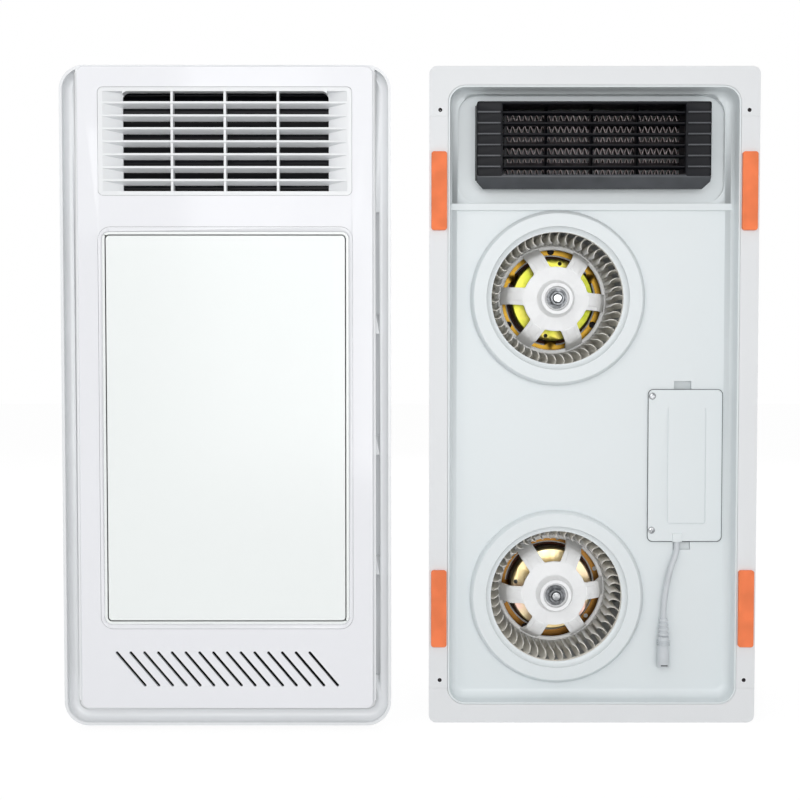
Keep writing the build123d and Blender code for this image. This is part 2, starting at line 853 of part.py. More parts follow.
def make_swing_blade(index):
    """Thin blade with a pin at each end and, at the left, a crank pin for the link bar."""
    z = swing_z[index]
    reach = outlet_inner - gap - 0.1
    notch = 5.0
    front = swing_depth - swing_chord + crank_reach
    with BuildPart() as blade:
        with BuildSketch(across(-reach)):
            with Locations((front + swing_chord / 2, z)):
                RectangleRounded(swing_chord, swing_thickness, swing_thickness / 2 - 0.05)
        extrude(amount=2 * reach)
        with BuildSketch(across(-reach)):
            with Locations((swing_depth + 1.6 + 5, z)):
                Rectangle(10, 4)
        extrude(amount=notch, mode=Mode.SUBTRACT)
        with BuildSketch(across(-outlet_inner - outlet_wall + gap)):
            with Locations((swing_depth, z)):
                Circle(swing_pin_radius)
        extrude(amount=2 * (outlet_inner + outlet_wall - gap))
        with BuildSketch(across(-reach + gap)):
            with Locations((swing_depth + crank_reach, z)):
                Circle(crank_pin_radius)
        extrude(amount=notch)
    return blade.part


def make_link_bar():
    """Upright bar whose slots take the crank pins; the slots are long in depth."""
    middle = swing_depth + crank_reach
    low = swing_depth + 2.2
    high = middle + 2.6
    length = swing_pitch * (swing_count - 1) + 6
    with BuildPart() as bar:
        with BuildSketch(across(-outlet_inner + 2.0, 0, outlet_z)):
            with Locations(((low + high) / 2, 0)):
                RectangleRounded(high - low, length, 1.2)
            with Locations(*[(middle - 0.35, z - outlet_z) for z in swing_z]):
                Rectangle(3.4, 2 * crank_pin_radius + 0.4, mode=Mode.SUBTRACT)
        extrude(amount=link_thickness)
    return bar.part


def make_swing_motor():
    """Small geared motor in the left hollow end, its shaft in line with the second blade."""
    z = swing_z[1]
    left = -outlet_width / 2 + outlet_wall
    with BuildPart() as motor:
        with BuildSketch(across(left)):
            with Locations((swing_depth + 8, z)):
                Circle(11.5)
        extrude(amount=10)
        with BuildSketch(across(left + 10)):
            with Locations((swing_depth, z)):
                Circle(2.6)
        extrude(amount=outlet_end - 2 * outlet_wall - 10 - gap)
    return motor.part


# Junction box: tray behind the deck, screwed lid and what it holds
def make_junction_tray():
    with BuildPart() as tray:
        with BuildSketch(facing(scroll_front + tray_depth, lid_x, lid_z)):
            Rectangle(tray_width, tray_height)
        extrude(amount=tray_depth)
        with BuildSketch(facing(scroll_front + 1.8, lid_x, lid_z)):
            Rectangle(lid_width + 1, lid_height + 2)
            with Locations((notch_x - lid_x, 0)):
                Rectangle(notch_width + 4 * skin, lid_height + 4, mode=Mode.SUBTRACT)
            with Locations(*[(lid_screw_x, z) for z in lid_screw_z]):
                Circle(cap_screw_radius - 0.2, mode=Mode.SUBTRACT)
        extrude(amount=1.8)
        with BuildSketch(facing(scroll_front + tray_depth - tray_wall, lid_x, lid_z)):
            Rectangle(tray_width - 2 * tray_wall, tray_height - 2 * tray_wall)
        extrude(amount=tray_depth, mode=Mode.SUBTRACT)
        with BuildSketch(facing(pocket_depth + gap, notch_x, lid_z)):
            Rectangle(notch_width + 4 * skin, lid_height)
        extrude(amount=pocket_depth + gap - scroll_front, mode=Mode.SUBTRACT)
    return tray.part


def make_junction_lid():
    with BuildPart() as lid:
        with BuildSketch(facing(deck_depth, lid_x, lid_z)):
            RectangleRounded(lid_width, lid_height, 5.0)
        extrude(amount=lid_thickness)
        fillet(lid.faces().sort_by(Axis.Y)[0].edges(), radius=0.8)
        with BuildSketch(facing(deck_depth - lid_thickness, lid_x, lid_z)):
            with Locations((1.2, 0)):
                RectangleRounded(36.0, 109.0, 3.0)
                RectangleRounded(34.0, 107.0, 2.0, mode=Mode.SUBTRACT)
            with Locations((1.2, 54.0)):
                Rectangle(34.0, 4.0, mode=Mode.SUBTRACT)
        extrude(amount=-0.9, mode=Mode.SUBTRACT)
        with BuildSketch(facing(deck_depth, lid_x, lid_z)):
            with Locations(*[(lid_screw_x, z) for z in lid_screw_z]):
                Circle(cap_screw_radius + gap)
            with Locations((cable_exit[0] - lid_x, -lid_height / 2)):
                Rectangle(cable_diameter + 2 * bush_wall + 2 * gap, 15.0)
        extrude(amount=lid_thickness, mode=Mode.SUBTRACT)
    return lid.part


def make_lid_screws():
    places = [(lid_screw_x, z) for z in lid_screw_z]
    with BuildPart() as screws:
        with BuildSketch(facing(deck_depth - lid_thickness, lid_x, lid_z)):
            with Locations(*places):
                Circle(2.9)
        extrude(amount=1.0)
        with BuildSketch(facing(scroll_front + 6, lid_x, lid_z)):
            with Locations(*places):
                Circle(cap_screw_radius - 0.3)
        extrude(amount=scroll_front + 6 - deck_depth + lid_thickness)
        with BuildSketch(facing(deck_depth - lid_thickness - 1.0, lid_x, lid_z)):
            with Locations(*places):
                Rectangle(3.6, 0.8)
                Rectangle(0.8, 3.6)
        extrude(amount=-0.7, mode=Mode.SUBTRACT)
    return screws.part


def make_terminal_block():
    floor = scroll_front + tray_depth - tray_wall
    poles = 6
    with BuildPart() as block:
        with BuildSketch(facing(floor, lid_x + 16, lid_z - 26)):
            Rectangle(20, 10 * poles)
        extrude(amount=14)
        with BuildSketch(facing(floor - 14, lid_x + 16, lid_z - 26)):
            with GridLocations(12, 10, 2, poles):
                Circle(2.4)
        extrude(amount=-6, mode=Mode.SUBTRACT)
    return block.part


def make_light_driver():
    floor = scroll_front + tray_depth - tray_wall
    with BuildPart() as driver:
        with BuildSketch(facing(floor, lid_x - 12, lid_z - 26)):
            RectangleRounded(26, 62, 3)
        extrude(amount=20)
        chamfer(driver.faces().sort_by(Axis.Y)[0].edges(), length=1.0)
    return driver.part


def make_run_capacitor():
    floor = scroll_front + tray_depth - tray_wall
    with BuildPart() as capacitor:
        with BuildSketch(facing(floor, lid_x, lid_z + 38)):
            RectangleRounded(46, 24, 2)
        extrude(amount=30)
    return capacitor.part


# Light cable: out of the bush under the lid, over the deck and down to its connector
def exit_direction():
    lean = radians(cable_tilt)
    return Vector(0, -sin(lean), -cos(lean))


def cable_route():
    start = Vector(*cable_exit)
    return [
        start,
        start + exit_direction() * 10.0,
        Vector(76.6, 14.4, -155.0),
        Vector(72.4, 13.7, -169.0),
        Vector(69.6, 13.4, -185.0),
        Vector(68.4, 13.2, -196.5),
        Vector(68.4, 13.2, -206.0),
    ]


def cable_radii(route):
    radii = []
    for before, corner, after in zip(route, route[1:], route[2:]):
        turn = radians((corner - before).get_angle(after - corner))
        shorter = min((corner - before).length, (after - corner).length)
        radii.append(0.45 * shorter / tan(turn / 2))
    return radii


def make_light_cable():
    route = cable_route()
    radii = cable_radii(route)
    with BuildPart() as cable:
        with BuildLine() as path:
            FilletPolyline(*route, radius=radii)
        with BuildSketch(Plane(origin=route[0], z_dir=exit_direction())):
            Circle(cable_diameter / 2)
        sweep(path=path.wires()[0])
    length = path.wires()[0].length
    share = cable.part.volume / (length * pi * cable_diameter**2 / 4)
    print("cable radii", [round(r, 1) for r in radii], "length", round(length, 1), "fill", round(share, 4))
    return cable.part


def make_cable_bush():
    with BuildPart() as bush:
        with BuildSketch(Plane(origin=cable_exit, z_dir=exit_direction())):
            Circle(cable_diameter / 2 + bush_wall)
        extrude(amount=-bush_length)
    return bush.part


def make_cable_relief():
    """Ribbed, tapered sleeve moulded on the end of the cable."""
    x, y, top = tuple(cable_route()[-1])
    ribs = 4
    step = relief_length / ribs
    points = [(0.0, 0.0), (cable_diameter / 2 + 0.6, 0.0)]
    for i in range(ribs):
        radius = cable_diameter / 2 + 0.9 + 0.35 * i
        points += [
            (radius + 0.5, -step * i - 1.0),
            (radius + 0.5, -step * i - 2.6),
            (radius - 0.4, -step * i - 3.0),
            (radius - 0.4, -step * (i + 1)),
        ]
    points.append((0.0, -relief_length))
    with BuildPart() as relief:
        with BuildSketch(Plane(origin=(x, y, top), x_dir=(1, 0, 0), z_dir=(0, -1, 0))):
            with BuildLine():
                Polyline(*points, close=True)
            make_face()
        revolve(axis=Axis((x, y, top), (0, 0, 1)))
    return relief.part


def make_connector():
    """Round connector that widens to its mouth, with a bore, a centre pin and two slits."""
    x, y, top = tuple(cable_route()[-1])
    start = top - relief_length
    with BuildPart() as connector:
        with BuildSketch(Plane(origin=(x, y, start), z_dir=(0, 0, -1))):
            Circle(connector_radius - 1.0)
        extrude(amount=connector_length, taper=-2.0)
        with BuildSketch(Plane(origin=(x, y, start - connector_length), z_dir=(0, 0, 1))):
            Circle(2.8)
            Circle(1.0, mode=Mode.SUBTRACT)
        extrude(amount=10.0, mode=Mode.SUBTRACT)
        with BuildSketch(Plane(origin=(x, y, start - connector_length), z_dir=(0, 0, 1))):
            Rectangle(3 * connector_radius, 1.4)
            Circle(2.8, mode=Mode.SUBTRACT)
        extrude(amount=12.0, mode=Mode.SUBTRACT)
    return connector.part


# Exhaust: transition from the scroll to a round collar, and a hanging non-return flap
def exhaust_opening():
    """Width and height of the scroll's outlet, and its centre in depth and height."""
    half = scroll_growth / 2
    right = half + scroll_start + 2 * scroll_growth
    front = scroll_front + skin + gap
    middle = exhaust_fan_z - (tongue_x + right) / 2
    return scroll_back - front, right - tongue_x, (scroll_back + front) / 2, middle


def make_exhaust_transition():
    wide, tall, depth, z = exhaust_opening()
    with BuildPart() as transition:
        for grow, mode in ((skin, Mode.ADD), (0.0, Mode.SUBTRACT)):
            with BuildSketch(across(exhaust_exit_x)):
                with Locations((depth, z)):
                    RectangleRounded(wide + 2 * grow, tall + 2 * grow, 4.0 + grow)
            with BuildSketch(across(duct_start)):
                with Locations((duct_axis_y, duct_axis_z)):
                    Circle(duct_bore - skin + grow)
            loft(mode=mode)
    return transition.part


def make_exhaust_collar():
    """Round spigot through the right wall, flanged on the wall, with a stop ring for the flap."""
    with BuildPart() as collar:
        with BuildSketch(across(duct_start, duct_axis_y, duct_axis_z)):
            Circle(duct_bore + duct_wall)
            Circle(duct_bore, mode=Mode.SUBTRACT)
        extrude(amount=duct_end - duct_start)
        with BuildSketch(across(wall_x + sheet, duct_axis_y, duct_axis_z)):
            Rectangle(2 * (duct_bore + duct_wall) + 8, 2 * (duct_bore + duct_wall) + 8)
            Circle(duct_bore + duct_wall / 2, mode=Mode.SUBTRACT)
        extrude(amount=1.5)
        with BuildSketch(across(flap_x - 2.0, duct_axis_y, duct_axis_z)):
            Circle(duct_bore + duct_wall / 2)
            Circle(duct_bore - 4.5, mode=Mode.SUBTRACT)
            with Locations((duct_bore, 0)):
                Rectangle(2 * (duct_bore - flap_pin_reach + 4), 2 * duct_bore, mode=Mode.SUBTRACT)
        extrude(amount=1.5)
        with BuildSketch(level(duct_axis_z - 2 * duct_bore)):
            with Locations(flap_pin_place):
                Circle(flap_pin_radius + running)
        extrude(amount=4 * duct_bore, mode=Mode.SUBTRACT)
    return collar.part


def make_flap_pin():
    """The pin lies level once the unit is in the ceiling, so the flap falls shut by itself."""
    half = sqrt((duct_bore + duct_wall) ** 2 - (flap_pin_reach + flap_pin_radius) ** 2) - gap
    with BuildPart() as pin:
        with BuildSketch(level(duct_axis_z - half)):
            with Locations(flap_pin_place):
                Circle(flap_pin_radius)
        extrude(amount=2 * half)
    return pin.part


def make_exhaust_flap():
    """Round flap hanging from its barrel; its shoulders are cut back beside the barrel."""
    radius = duct_bore - 2.0
    neck = 20.0
    with BuildPart() as flap:
        with BuildSketch(across(flap_x, duct_axis_y, duct_axis_z)):
            Circle(radius)
            with Locations((flap_shoulder + radius / 2, 0)):
                Rectangle(radius, 2 * radius, mode=Mode.SUBTRACT)
            with Locations(((flap_shoulder + flap_pin_reach) / 2, 0)):
                Rectangle(flap_pin_reach - flap_shoulder + 1, 2 * neck)
        extrude(amount=flap_thickness)
        for radius, mode in ((2.8, Mode.ADD), (flap_pin_radius + running, Mode.SUBTRACT)):
            with BuildSketch(level(duct_axis_z - neck)):
                with Locations(flap_pin_place):
                    Circle(radius)
            extrude(amount=2 * neck, mode=mode)
    return flap.part


def make_mains_gland():
    with BuildPart() as gland:
        with BuildSketch(across(wall_x - 8, mains_y, mains_z)):
            Circle(gland_radius)
        extrude(amount=8 + sheet)
        with BuildSketch(across(wall_x + sheet, mains_y, mains_z)):
            RegularPolygon(gland_radius + 3.5, 6)
        extrude(amount=7)
        with BuildSketch(across(wall_x + sheet + 7, mains_y, mains_z)):
            Circle(gland_radius + 1)
        extrude(amount=12, taper=12)
        with BuildSketch(across(wall_x - sheet - 3, mains_y, mains_z)):
            RegularPolygon(gland_radius + 3.5, 6)
        extrude(amount=3)
        with BuildSketch(across(wall_x - 10, mains_y, mains_z)):
            Circle(gland_bore)
        extrude(amount=40, mode=Mode.SUBTRACT)
    return gland.part


# Front panel
def plate_outline(grow=0.0):
    with BuildSketch() as outline:
        with Locations((0, plate_z)):
            RectangleRounded(plate_width + 2 * grow, plate_height + 2 * grow, plate_corner + grow)
    return outline.sketch


def ledge_outline():
    with BuildSketch() as outline:
        with Locations((0, plate_z)):
            RectangleRounded(plate_width + 2 * plate_ledge, plate_height + 2 * plate_lip, plate_corner + plate_lip)
    return outline.sketch


def slanted_slots(width):
    length = sqrt(slot_run**2 + slot_fall**2)
    with BuildSketch() as slots:
        for i in range(slot_count):
            x = slot_pitch * (i - (slot_count - 1) / 2)
            with Locations(Location((x, slot_z, 0), (0, 0, 1), -slot_angle())):
                SlotCenterToCenter(length, width)
    return slots.sketch


def slot_angle():
    return Vector(slot_run, slot_fall, 0).get_angle(Vector(1, 0, 0))


def make_panel_frame():
    with BuildPart() as frame:
        with BuildSketch(facing(panel_back, panel_x)):
            RectangleRounded(panel_width, panel_height, panel_corner)
        extrude(amount=panel_back - panel_rim_front)
        # coved channel inside the rim, then the block that the plate lies on
        with BuildSketch(facing(channel_floor, panel_x)):
            inner = 2 * rim_wall
            RectangleRounded(panel_width - inner, panel_height - inner, panel_corner - rim_wall)
        extrude(amount=channel_floor - panel_rim_front, mode=Mode.SUBTRACT)
        floor = frame.faces().filter_by_position(Axis.Y, channel_floor - 0.1, channel_floor + 0.1)
        fillet(floor.edges(), radius=channel_cove)
        with BuildSketch(facing(channel_floor + 0.5, panel_x)):
            add(ledge_outline())
        extrude(amount=channel_floor + 0.5 - panel_rim_front)
        # seat of the plate
        with BuildSketch(facing(panel_seat, panel_x)):
            add(plate_outline())
        extrude(amount=panel_seat - panel_rim_front, mode=Mode.SUBTRACT)
        # hollow back, with a groove behind the channel that the keeper blocks interrupt
        with BuildSketch(facing(panel_back, panel_x)):
            add(plate_outline(-panel_skin))
        extrude(amount=panel_back - panel_seat - panel_skin, mode=Mode.SUBTRACT)
        with BuildSketch(facing(panel_back, panel_x)):
            inner = 2 * rim_wall
            RectangleRounded(panel_width - inner, panel_height - inner, panel_corner - rim_wall)
            add(plate_outline(groove_inset), mode=Mode.SUBTRACT)
            for side in (-1, 1):
                with Locations(*[(side * pad_x, z) for z in pad_z]):
                    Rectangle(4 * pad_width, pad_height + 6, mode=Mode.SUBTRACT)
        extrude(amount=panel_back - channel_floor - panel_skin, mode=Mode.SUBTRACT)
        with BuildSketch(facing(panel_back, panel_x)):
            for side in (-1, 1):
                with Locations(*[(side * keeper_x(), z) for z in pad_z]):
                    Rectangle(keeper_width() + 0.2, pad_height - 4.8)
        extrude(amount=keeper_thickness, mode=Mode.SUBTRACT)
        # openings for grille, light and slanted slots
        with BuildSketch(facing(panel_back, panel_x)):
            with Locations((0, grille_z)):
                Rectangle(grille_width - 8, opening_height + 2)
            with Locations((0, light_z)):
                Rectangle(light_width - 12, light_height - 12)
            add(slanted_slots(slot_width + 1.4))
        extrude(amount=panel_back - panel_rim_front, mode=Mode.SUBTRACT)
        # air slots from the channel in under the plate's long edges
        slot_inner = plate_width / 2 - panel_skin - 0.8
        slot_outer = plate_width / 2 + plate_ledge + side_slot_width
        for side in (-1, 1):
            for z in side_slots:
                with BuildSketch(facing(side_slot_floor, panel_x + side * (slot_inner + slot_outer) / 2, z)):
                    Rectangle(slot_outer - slot_inner, side_slot_length)
                extrude(amount=side_slot_floor - side_slot_front, mode=Mode.SUBTRACT)
    return frame.part


def keeper_x():
    return (plate_width / 2 + panel_width / 2 - rim_wall) / 2


def keeper_width():
    return panel_width / 2 - rim_wall - plate_width / 2 - 1.0


def make_keeper_plates():
    with BuildPart() as keepers:
        with BuildSketch(facing(panel_back, panel_x)):
            for side in (-1, 1):
                with Locations(*[(side * keeper_x(), z) for z in pad_z]):
                    Rectangle(keeper_width(), pad_height - 5)
        extrude(amount=keeper_thickness)
    return keepers.part


def make_face_plate():
    with BuildPart() as plate:
        with BuildSketch(facing(panel_seat, panel_x)):
            add(plate_outline())
        extrude(amount=panel_seat - panel_front)
        fillet(plate.faces().sort_by(Axis.Y)[0].edges(), radius=1.2)
        with BuildSketch(facing(panel_seat, panel_x)):
            with Locations((0, grille_z)):
                RectangleRounded(grille_width + 2 * gap, grille_height + 2 * gap, grille_corner + gap)
            with Locations((0, light_z)):
                RectangleRounded(light_width + 2 * gap, light_height + 2 * gap, light_corner + gap)
            add(slanted_slots(slot_width))
        extrude(amount=panel_seat - panel_front, mode=Mode.SUBTRACT)
    return plate.part


def make_outlet_grille():
    """Insert with sloped end fields and seven tilted slats that run out into them."""
    front = panel_front + gap
    step = panel_seat - front
    inner_half = opening_width / 2
    outer_half = grille_width / 2 - 4.0
    with BuildPart() as grille:
        with BuildSketch(facing(front + step, panel_x, grille_z)):
            RectangleRounded(grille_width, grille_height, grille_corner)
        extrude(amount=step)
        with BuildSketch(facing(front + grille_depth, panel_x, grille_z)):
            Rectangle(grille_width - 9, opening_height + 1)
        extrude(amount=grille_depth - step)
        with BuildSketch(facing(front + grille_depth, panel_x, grille_z)) as opening:
            Rectangle(opening_width, opening_height)
            fillet(opening.vertices().group_by(Axis.Y)[-1], radius=opening_corner)
        extrude(amount=grille_depth, mode=Mode.SUBTRACT)
        for side in (-1, 1):
            with BuildSketch(level(grille_z - opening_height / 2)):
                with BuildLine():
                    Polyline(
                        (panel_x + side * outer_half, front),
                        (panel_x + side * (inner_half - 1), front),
                        (panel_x + side * (inner_half - 1), front + grille_depth - 3),
                        (panel_x + side * inner_half, front + grille_depth - 3),
                        close=True,
                    )
                make_face()
            extrude(amount=opening_height, mode=Mode.SUBTRACT)
        half = slat_thickness / 2
        for i in range(slat_count):
            z = grille_z + slat_pitch * ((slat_count - 1) / 2 - i)
            with BuildSketch(across(panel_x - outer_half)):
                with BuildLine():
                    Polyline(
                        (front, z + half),
                        (front, z - half),
                        (front + grille_depth - 1, z - half - slat_drop),
                        (front + grille_depth - 1, z + half - slat_drop),
                        close=True,
                    )
                make_face()
            extrude(amount=2 * outer_half)
        with BuildSketch(facing(front + grille_depth - 1, panel_x, grille_z)):
            with Locations((-divider_pitch, 0), (0, 0), (divider_pitch, 0)):
                Rectangle(divider_width, opening_height + 1)
        extrude(amount=grille_depth - 2)
    return grille.part


def make_air_guide():
    """Black insert behind the grille; its overlapping slanted vanes turn the air and hide the inside."""
    rear = panel_front + gap + grille_depth + guide_depth
    width = opening_width + 8
    height = opening_height + 6
    vanes = round(opening_height / vane_pitch)
    with BuildPart() as guide:
        with BuildSketch(facing(rear, panel_x, grille_z)):
            Rectangle(width, height)
            Rectangle(width - 4, height - 4, mode=Mode.SUBTRACT)
        extrude(amount=guide_depth)
        for i in range(vanes + 1):
            z = grille_z - opening_height / 2 + vane_pitch * i - 4.0
            top = min(z + guide_depth - 1, grille_z + height / 2 - 1)
            with BuildSketch(across(panel_x - width / 2 + 1)):
                with BuildLine():
                    Polyline(
                        (rear - 0.5, top),
                        (rear - 0.5, top + 1.4),
                        (rear - guide_depth + 0.5, z + 1.4),
                        (rear - guide_depth + 0.5, z),
                        close=True,
                    )
                make_face()
            extrude(amount=width - 2)
    return guide.part


def make_intake_filter():
    with BuildPart() as pad:
        with BuildSketch(facing(panel_seat + panel_skin + 6, panel_x, slot_z)):
            RectangleRounded(slot_pitch * (slot_count + 3), slot_fall + 16, 4)
        extrude(amount=6)
    return pad.part


def make_light_bezel():
    with BuildPart() as bezel:
        with BuildSketch(facing(panel_seat, panel_x, light_z)):
            RectangleRounded(light_width, light_height, light_corner)
            RectangleRounded(diffuser_width - 8, diffuser_height - 8, 4, mode=Mode.SUBTRACT)
        extrude(amount=panel_seat - panel_front)
        with BuildSketch(facing(panel_front + diffuser_thickness, panel_x, light_z)):
            RectangleRounded(diffuser_width + gap, diffuser_height + gap, 7)
        extrude(amount=diffuser_thickness, mode=Mode.SUBTRACT)
    return bezel.part


def make_light_diffuser():
    with BuildPart() as diffuser:
        with BuildSketch(facing(panel_front + diffuser_thickness, panel_x, light_z)):
            RectangleRounded(diffuser_width, diffuser_height, 6.8)
        extrude(amount=diffuser_thickness - 0.1)
    return diffuser.part


def make_light_tray():
    """Folded steel tray behind the light, with a rim screwed to the frame."""
    rim = panel_seat + panel_skin
    with BuildPart() as tray:
        with BuildSketch(facing(rim + light_tray_depth, panel_x, light_z)):
            Rectangle(light_width - 14, light_height - 14)
        extrude(amount=light_tray_depth)
        with BuildSketch(facing(rim + light_tray_depth - sheet, panel_x, light_z)):
            Rectangle(light_width - 14 - 2 * sheet, light_height - 14 - 2 * sheet)
        extrude(amount=light_tray_depth, mode=Mode.SUBTRACT)
        with BuildSketch(facing(rim + sheet, panel_x, light_z)):
            Rectangle(light_width + 6, light_height + 6)
            Rectangle(light_width - 15, light_height - 15, mode=Mode.SUBTRACT)
            with Locations(*tray_screws()):
                Circle(cap_screw_radius - 0.2, mode=Mode.SUBTRACT)
        extrude(amount=sheet)
    return tray.part


def tray_screws():
    x = light_width / 2 - 1.5
    return [(side * x, z) for side in (-1, 1) for z in (-150.0, 0.0, 150.0)]


def make_panel_screws():
    rim = panel_seat + panel_skin + sheet
    with BuildPart() as screws:
        with BuildSketch(facing(rim + 1.6, panel_x, light_z)):
            with Locations(*tray_screws()):
                Circle(2.9)
        extrude(amount=1.6)
        with BuildSketch(facing(rim, panel_x, light_z)):
            with Locations(*tray_screws()):
                Circle(cap_screw_radius - 0.2)
        extrude(amount=sheet)
    return screws.part


def make_light_strips():
    """Four light strips on the floor of the tray, each with a row of light sources."""
    floor = panel_seat + panel_skin + light_tray_depth - sheet
    length = light_height - 40
    with BuildPart() as strips:
        with BuildSketch(facing(floor, panel_x, light_z)):
            with GridLocations(52, 0, 4, 1):
                Rectangle(14, length)
        extrude(amount=1.2)
        with BuildSketch(facing(floor - 1.2, panel_x, light_z)):
            with GridLocations(52, length / 10, 4, 10):
                Rectangle(4, 4)
        extrude(amount=1.0)
    return strips.part


def make_light_socket():
    """Socket on the back of the light tray for the chassis cable."""
    back = panel_seat + panel_skin + light_tray_depth
    with BuildPart() as socket:
        with BuildSketch(facing(panel_back - gap, panel_x + 80, light_z - 90)):
            Rectangle(12, 22)
        extrude(amount=panel_back - gap - back)
    return socket.part


save(make_housing_wrap(), "housing_wrap")
save(make_end_cap(1, top_join), "end_cap_top")
save(make_end_cap(-1, bottom_join), "end_cap_bottom")
save(make_cap_screws(), "cap_screws")
save(make_hanging_lugs(), "hanging_lugs")
save(make_deck_liner(), "deck_liner")
save(make_cushion_pads(), "cushion_pads")
save(make_scroll("heating", duct_bottom - heat_fan_z), "heating_scroll")
save(make_scroll("exhaust", exhaust_exit_x - fan_x), "exhaust_scroll")
for fan, fan_z in scroll_centres.items():
    save(make_motor(fan_z), f"{fan}_motor")
    save(make_motor_bell(fan), f"{fan}_motor_bell")
    save(make_wheel(fan), f"{fan}_wheel")
    save(make_spindle(fan_z), f"{fan}_spindle")
    save(make_nut(fan_z), f"{fan}_nut")
save(make_motor_screws(), "motor_screws")
save(make_hot_air_duct(), "hot_air_duct")
save(make_heater_frame(), "heater_frame")
save(make_heater_fins(), "heater_fins")
save(make_heater_bars(), "heater_bars")
save(make_outlet_frame(), "outlet_frame")
for blade in range(swing_count):
    save(make_swing_blade(blade), f"swing_blade_{blade + 1}")
save(make_link_bar(), "link_bar")
save(make_swing_motor(), "swing_motor")
save(make_junction_tray(), "junction_tray")
save(make_junction_lid(), "junction_lid")
save(make_lid_screws(), "lid_screws")
save(make_terminal_block(), "terminal_block")
save(make_light_driver(), "light_driver")
save(make_run_capacitor(), "run_capacitor")
save(make_light_cable(), "light_cable")
save(make_cable_bush(), "cable_bush")
save(make_cable_relief(), "cable_relief")
save(make_connector(), "connector")
save(make_exhaust_transition(), "exhaust_transition")
save(make_exhaust_collar(), "exhaust_collar")
save(make_flap_pin(), "flap_pin")
save(make_exhaust_flap(), "exhaust_flap")
save(make_mains_gland(), "mains_gland")
save(make_panel_frame(), "panel_frame")
save(make_keeper_plates(), "keeper_plates")
save(make_face_plate(), "face_plate")
save(make_outlet_grille(), "outlet_grille")
save(make_air_guide(), "air_guide")
save(make_intake_filter(), "intake_filter")
save(make_light_bezel(), "light_bezel")
save(make_light_diffuser(), "light_diffuser")
save(make_light_tray(), "light_tray")
save(make_panel_screws(), "panel_screws")
save(make_light_strips(), "light_strips")
save(make_light_socket(), "light_socket")
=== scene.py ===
"""Bathroom ceiling heater: chassis with its fans open to view, and its front panel standing beside it."""

import json
from math import atan2, cos, pi, radians, sin

import bmesh
import bpy
from bpy.props import FloatProperty, FloatVectorProperty, PointerProperty
from mathutils import Matrix, Vector


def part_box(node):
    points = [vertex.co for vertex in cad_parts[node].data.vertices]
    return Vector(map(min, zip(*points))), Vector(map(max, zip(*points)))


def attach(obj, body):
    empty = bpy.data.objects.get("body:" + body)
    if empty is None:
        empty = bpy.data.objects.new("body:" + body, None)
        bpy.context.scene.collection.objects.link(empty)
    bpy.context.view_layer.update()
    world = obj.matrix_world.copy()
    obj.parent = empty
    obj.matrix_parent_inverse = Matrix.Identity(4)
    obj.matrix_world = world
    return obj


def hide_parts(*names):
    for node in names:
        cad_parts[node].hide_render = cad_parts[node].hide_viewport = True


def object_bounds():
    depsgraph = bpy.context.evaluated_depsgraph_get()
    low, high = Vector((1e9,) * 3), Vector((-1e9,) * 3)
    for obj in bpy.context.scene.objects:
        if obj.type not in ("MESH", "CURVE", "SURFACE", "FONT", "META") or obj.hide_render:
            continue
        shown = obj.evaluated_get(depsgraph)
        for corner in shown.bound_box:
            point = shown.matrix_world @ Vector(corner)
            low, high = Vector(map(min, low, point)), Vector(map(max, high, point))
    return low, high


bl_info = {
    "name": "Bathroom ceiling heater",
    "version": (1, 0, 0),
    "blender": (4, 5, 0),
    "location": "View3D > Sidebar > Heater",
    "description": "Dresses a recessed bathroom heater and its front panel with finished pieces",
    "category": "Object",
}

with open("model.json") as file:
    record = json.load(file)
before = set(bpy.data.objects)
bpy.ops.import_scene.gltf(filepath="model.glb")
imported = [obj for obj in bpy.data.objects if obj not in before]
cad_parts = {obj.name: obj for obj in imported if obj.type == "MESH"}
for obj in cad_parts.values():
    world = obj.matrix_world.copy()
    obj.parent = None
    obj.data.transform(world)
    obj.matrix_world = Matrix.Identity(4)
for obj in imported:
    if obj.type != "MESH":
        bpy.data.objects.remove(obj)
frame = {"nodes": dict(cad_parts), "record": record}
cad_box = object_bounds()

MERGE = 0.000002
SINK = 0.0001
WHITE = (1, 1, 1, 1)

FAN_X = -0.031
FAN_Z = {"heating": 0.091, "exhaust": -0.186}
FAN_TURN = {"heating": -4.4, "exhaust": 3.4}
SPOKES = 6
HUB_EDGE, HUB_FACE = 0.029, 0.031
HUB_RUN, HUB_FALL = 0.014, 0.008
SPOKE_PAD = {"length": 0.012, "width": 0.0085, "height": 0.0006, "edge": 0.0003}
SPOKE_PAD_OUT = 0.0075
SPINDLE_RADIUS, NUT_FLATS, NUT_TURN = 0.004, 0.013, 12
COIL_RADIUS, COIL_DEPTH = 0.041, 0.0776
COIL_HALF_WIDTH, COIL_HALF_DEPTH, COIL_SIDES = 0.00125, 0.0014, 8

# Outlines are pairs of a radius or a share of one, and a depth.
BACK_RING = (
    (0.0478, 0.0640), (0.0478, 0.0628), (0.0484, 0.0620), (0.0496, 0.0617),
    (0.0512, 0.0620), (0.0518, 0.0627), (0.0519, 0.0648), (0.0505, 0.0650),
)
# Sleeve outline for the flange's screw holes, whose dark is painted shade.
HOLE_SHADE = (
    (0.0007, -0.0001), (0.0017, -0.0001), (0.002, 0.0001), (0.002, 0.0005),
    (0.0013, 0.0006), (0.0013, 0.006), (0.0007, 0.006),
)
HOLE_SHADE_X, HOLE_SHADE_Z = 0.14, 0.2605
GRIP_RING = ((0.0052, -0.0003), (0.0061, -0.0003), (0.0062, 0.0), (0.0061, 0.0003), (0.0052, 0.0003))
GRIP_RINGS, GRIP_START, GRIP_STEP = 3, 0.004, 0.002
MOUTH_SLOT = {"length": 0.0062, "width": 0.0011, "height": 0.0004, "edge": 0.0002}
MOUTH_DEPTH, MOUTH_RISE = 0.0003, 0.0022
CABLE_HOOD = {"width": 0.0082, "height": 0.0014, "edge": 0.0006}
HOOD_MARGIN, HOOD_RISE = 0.0022, 0.0036
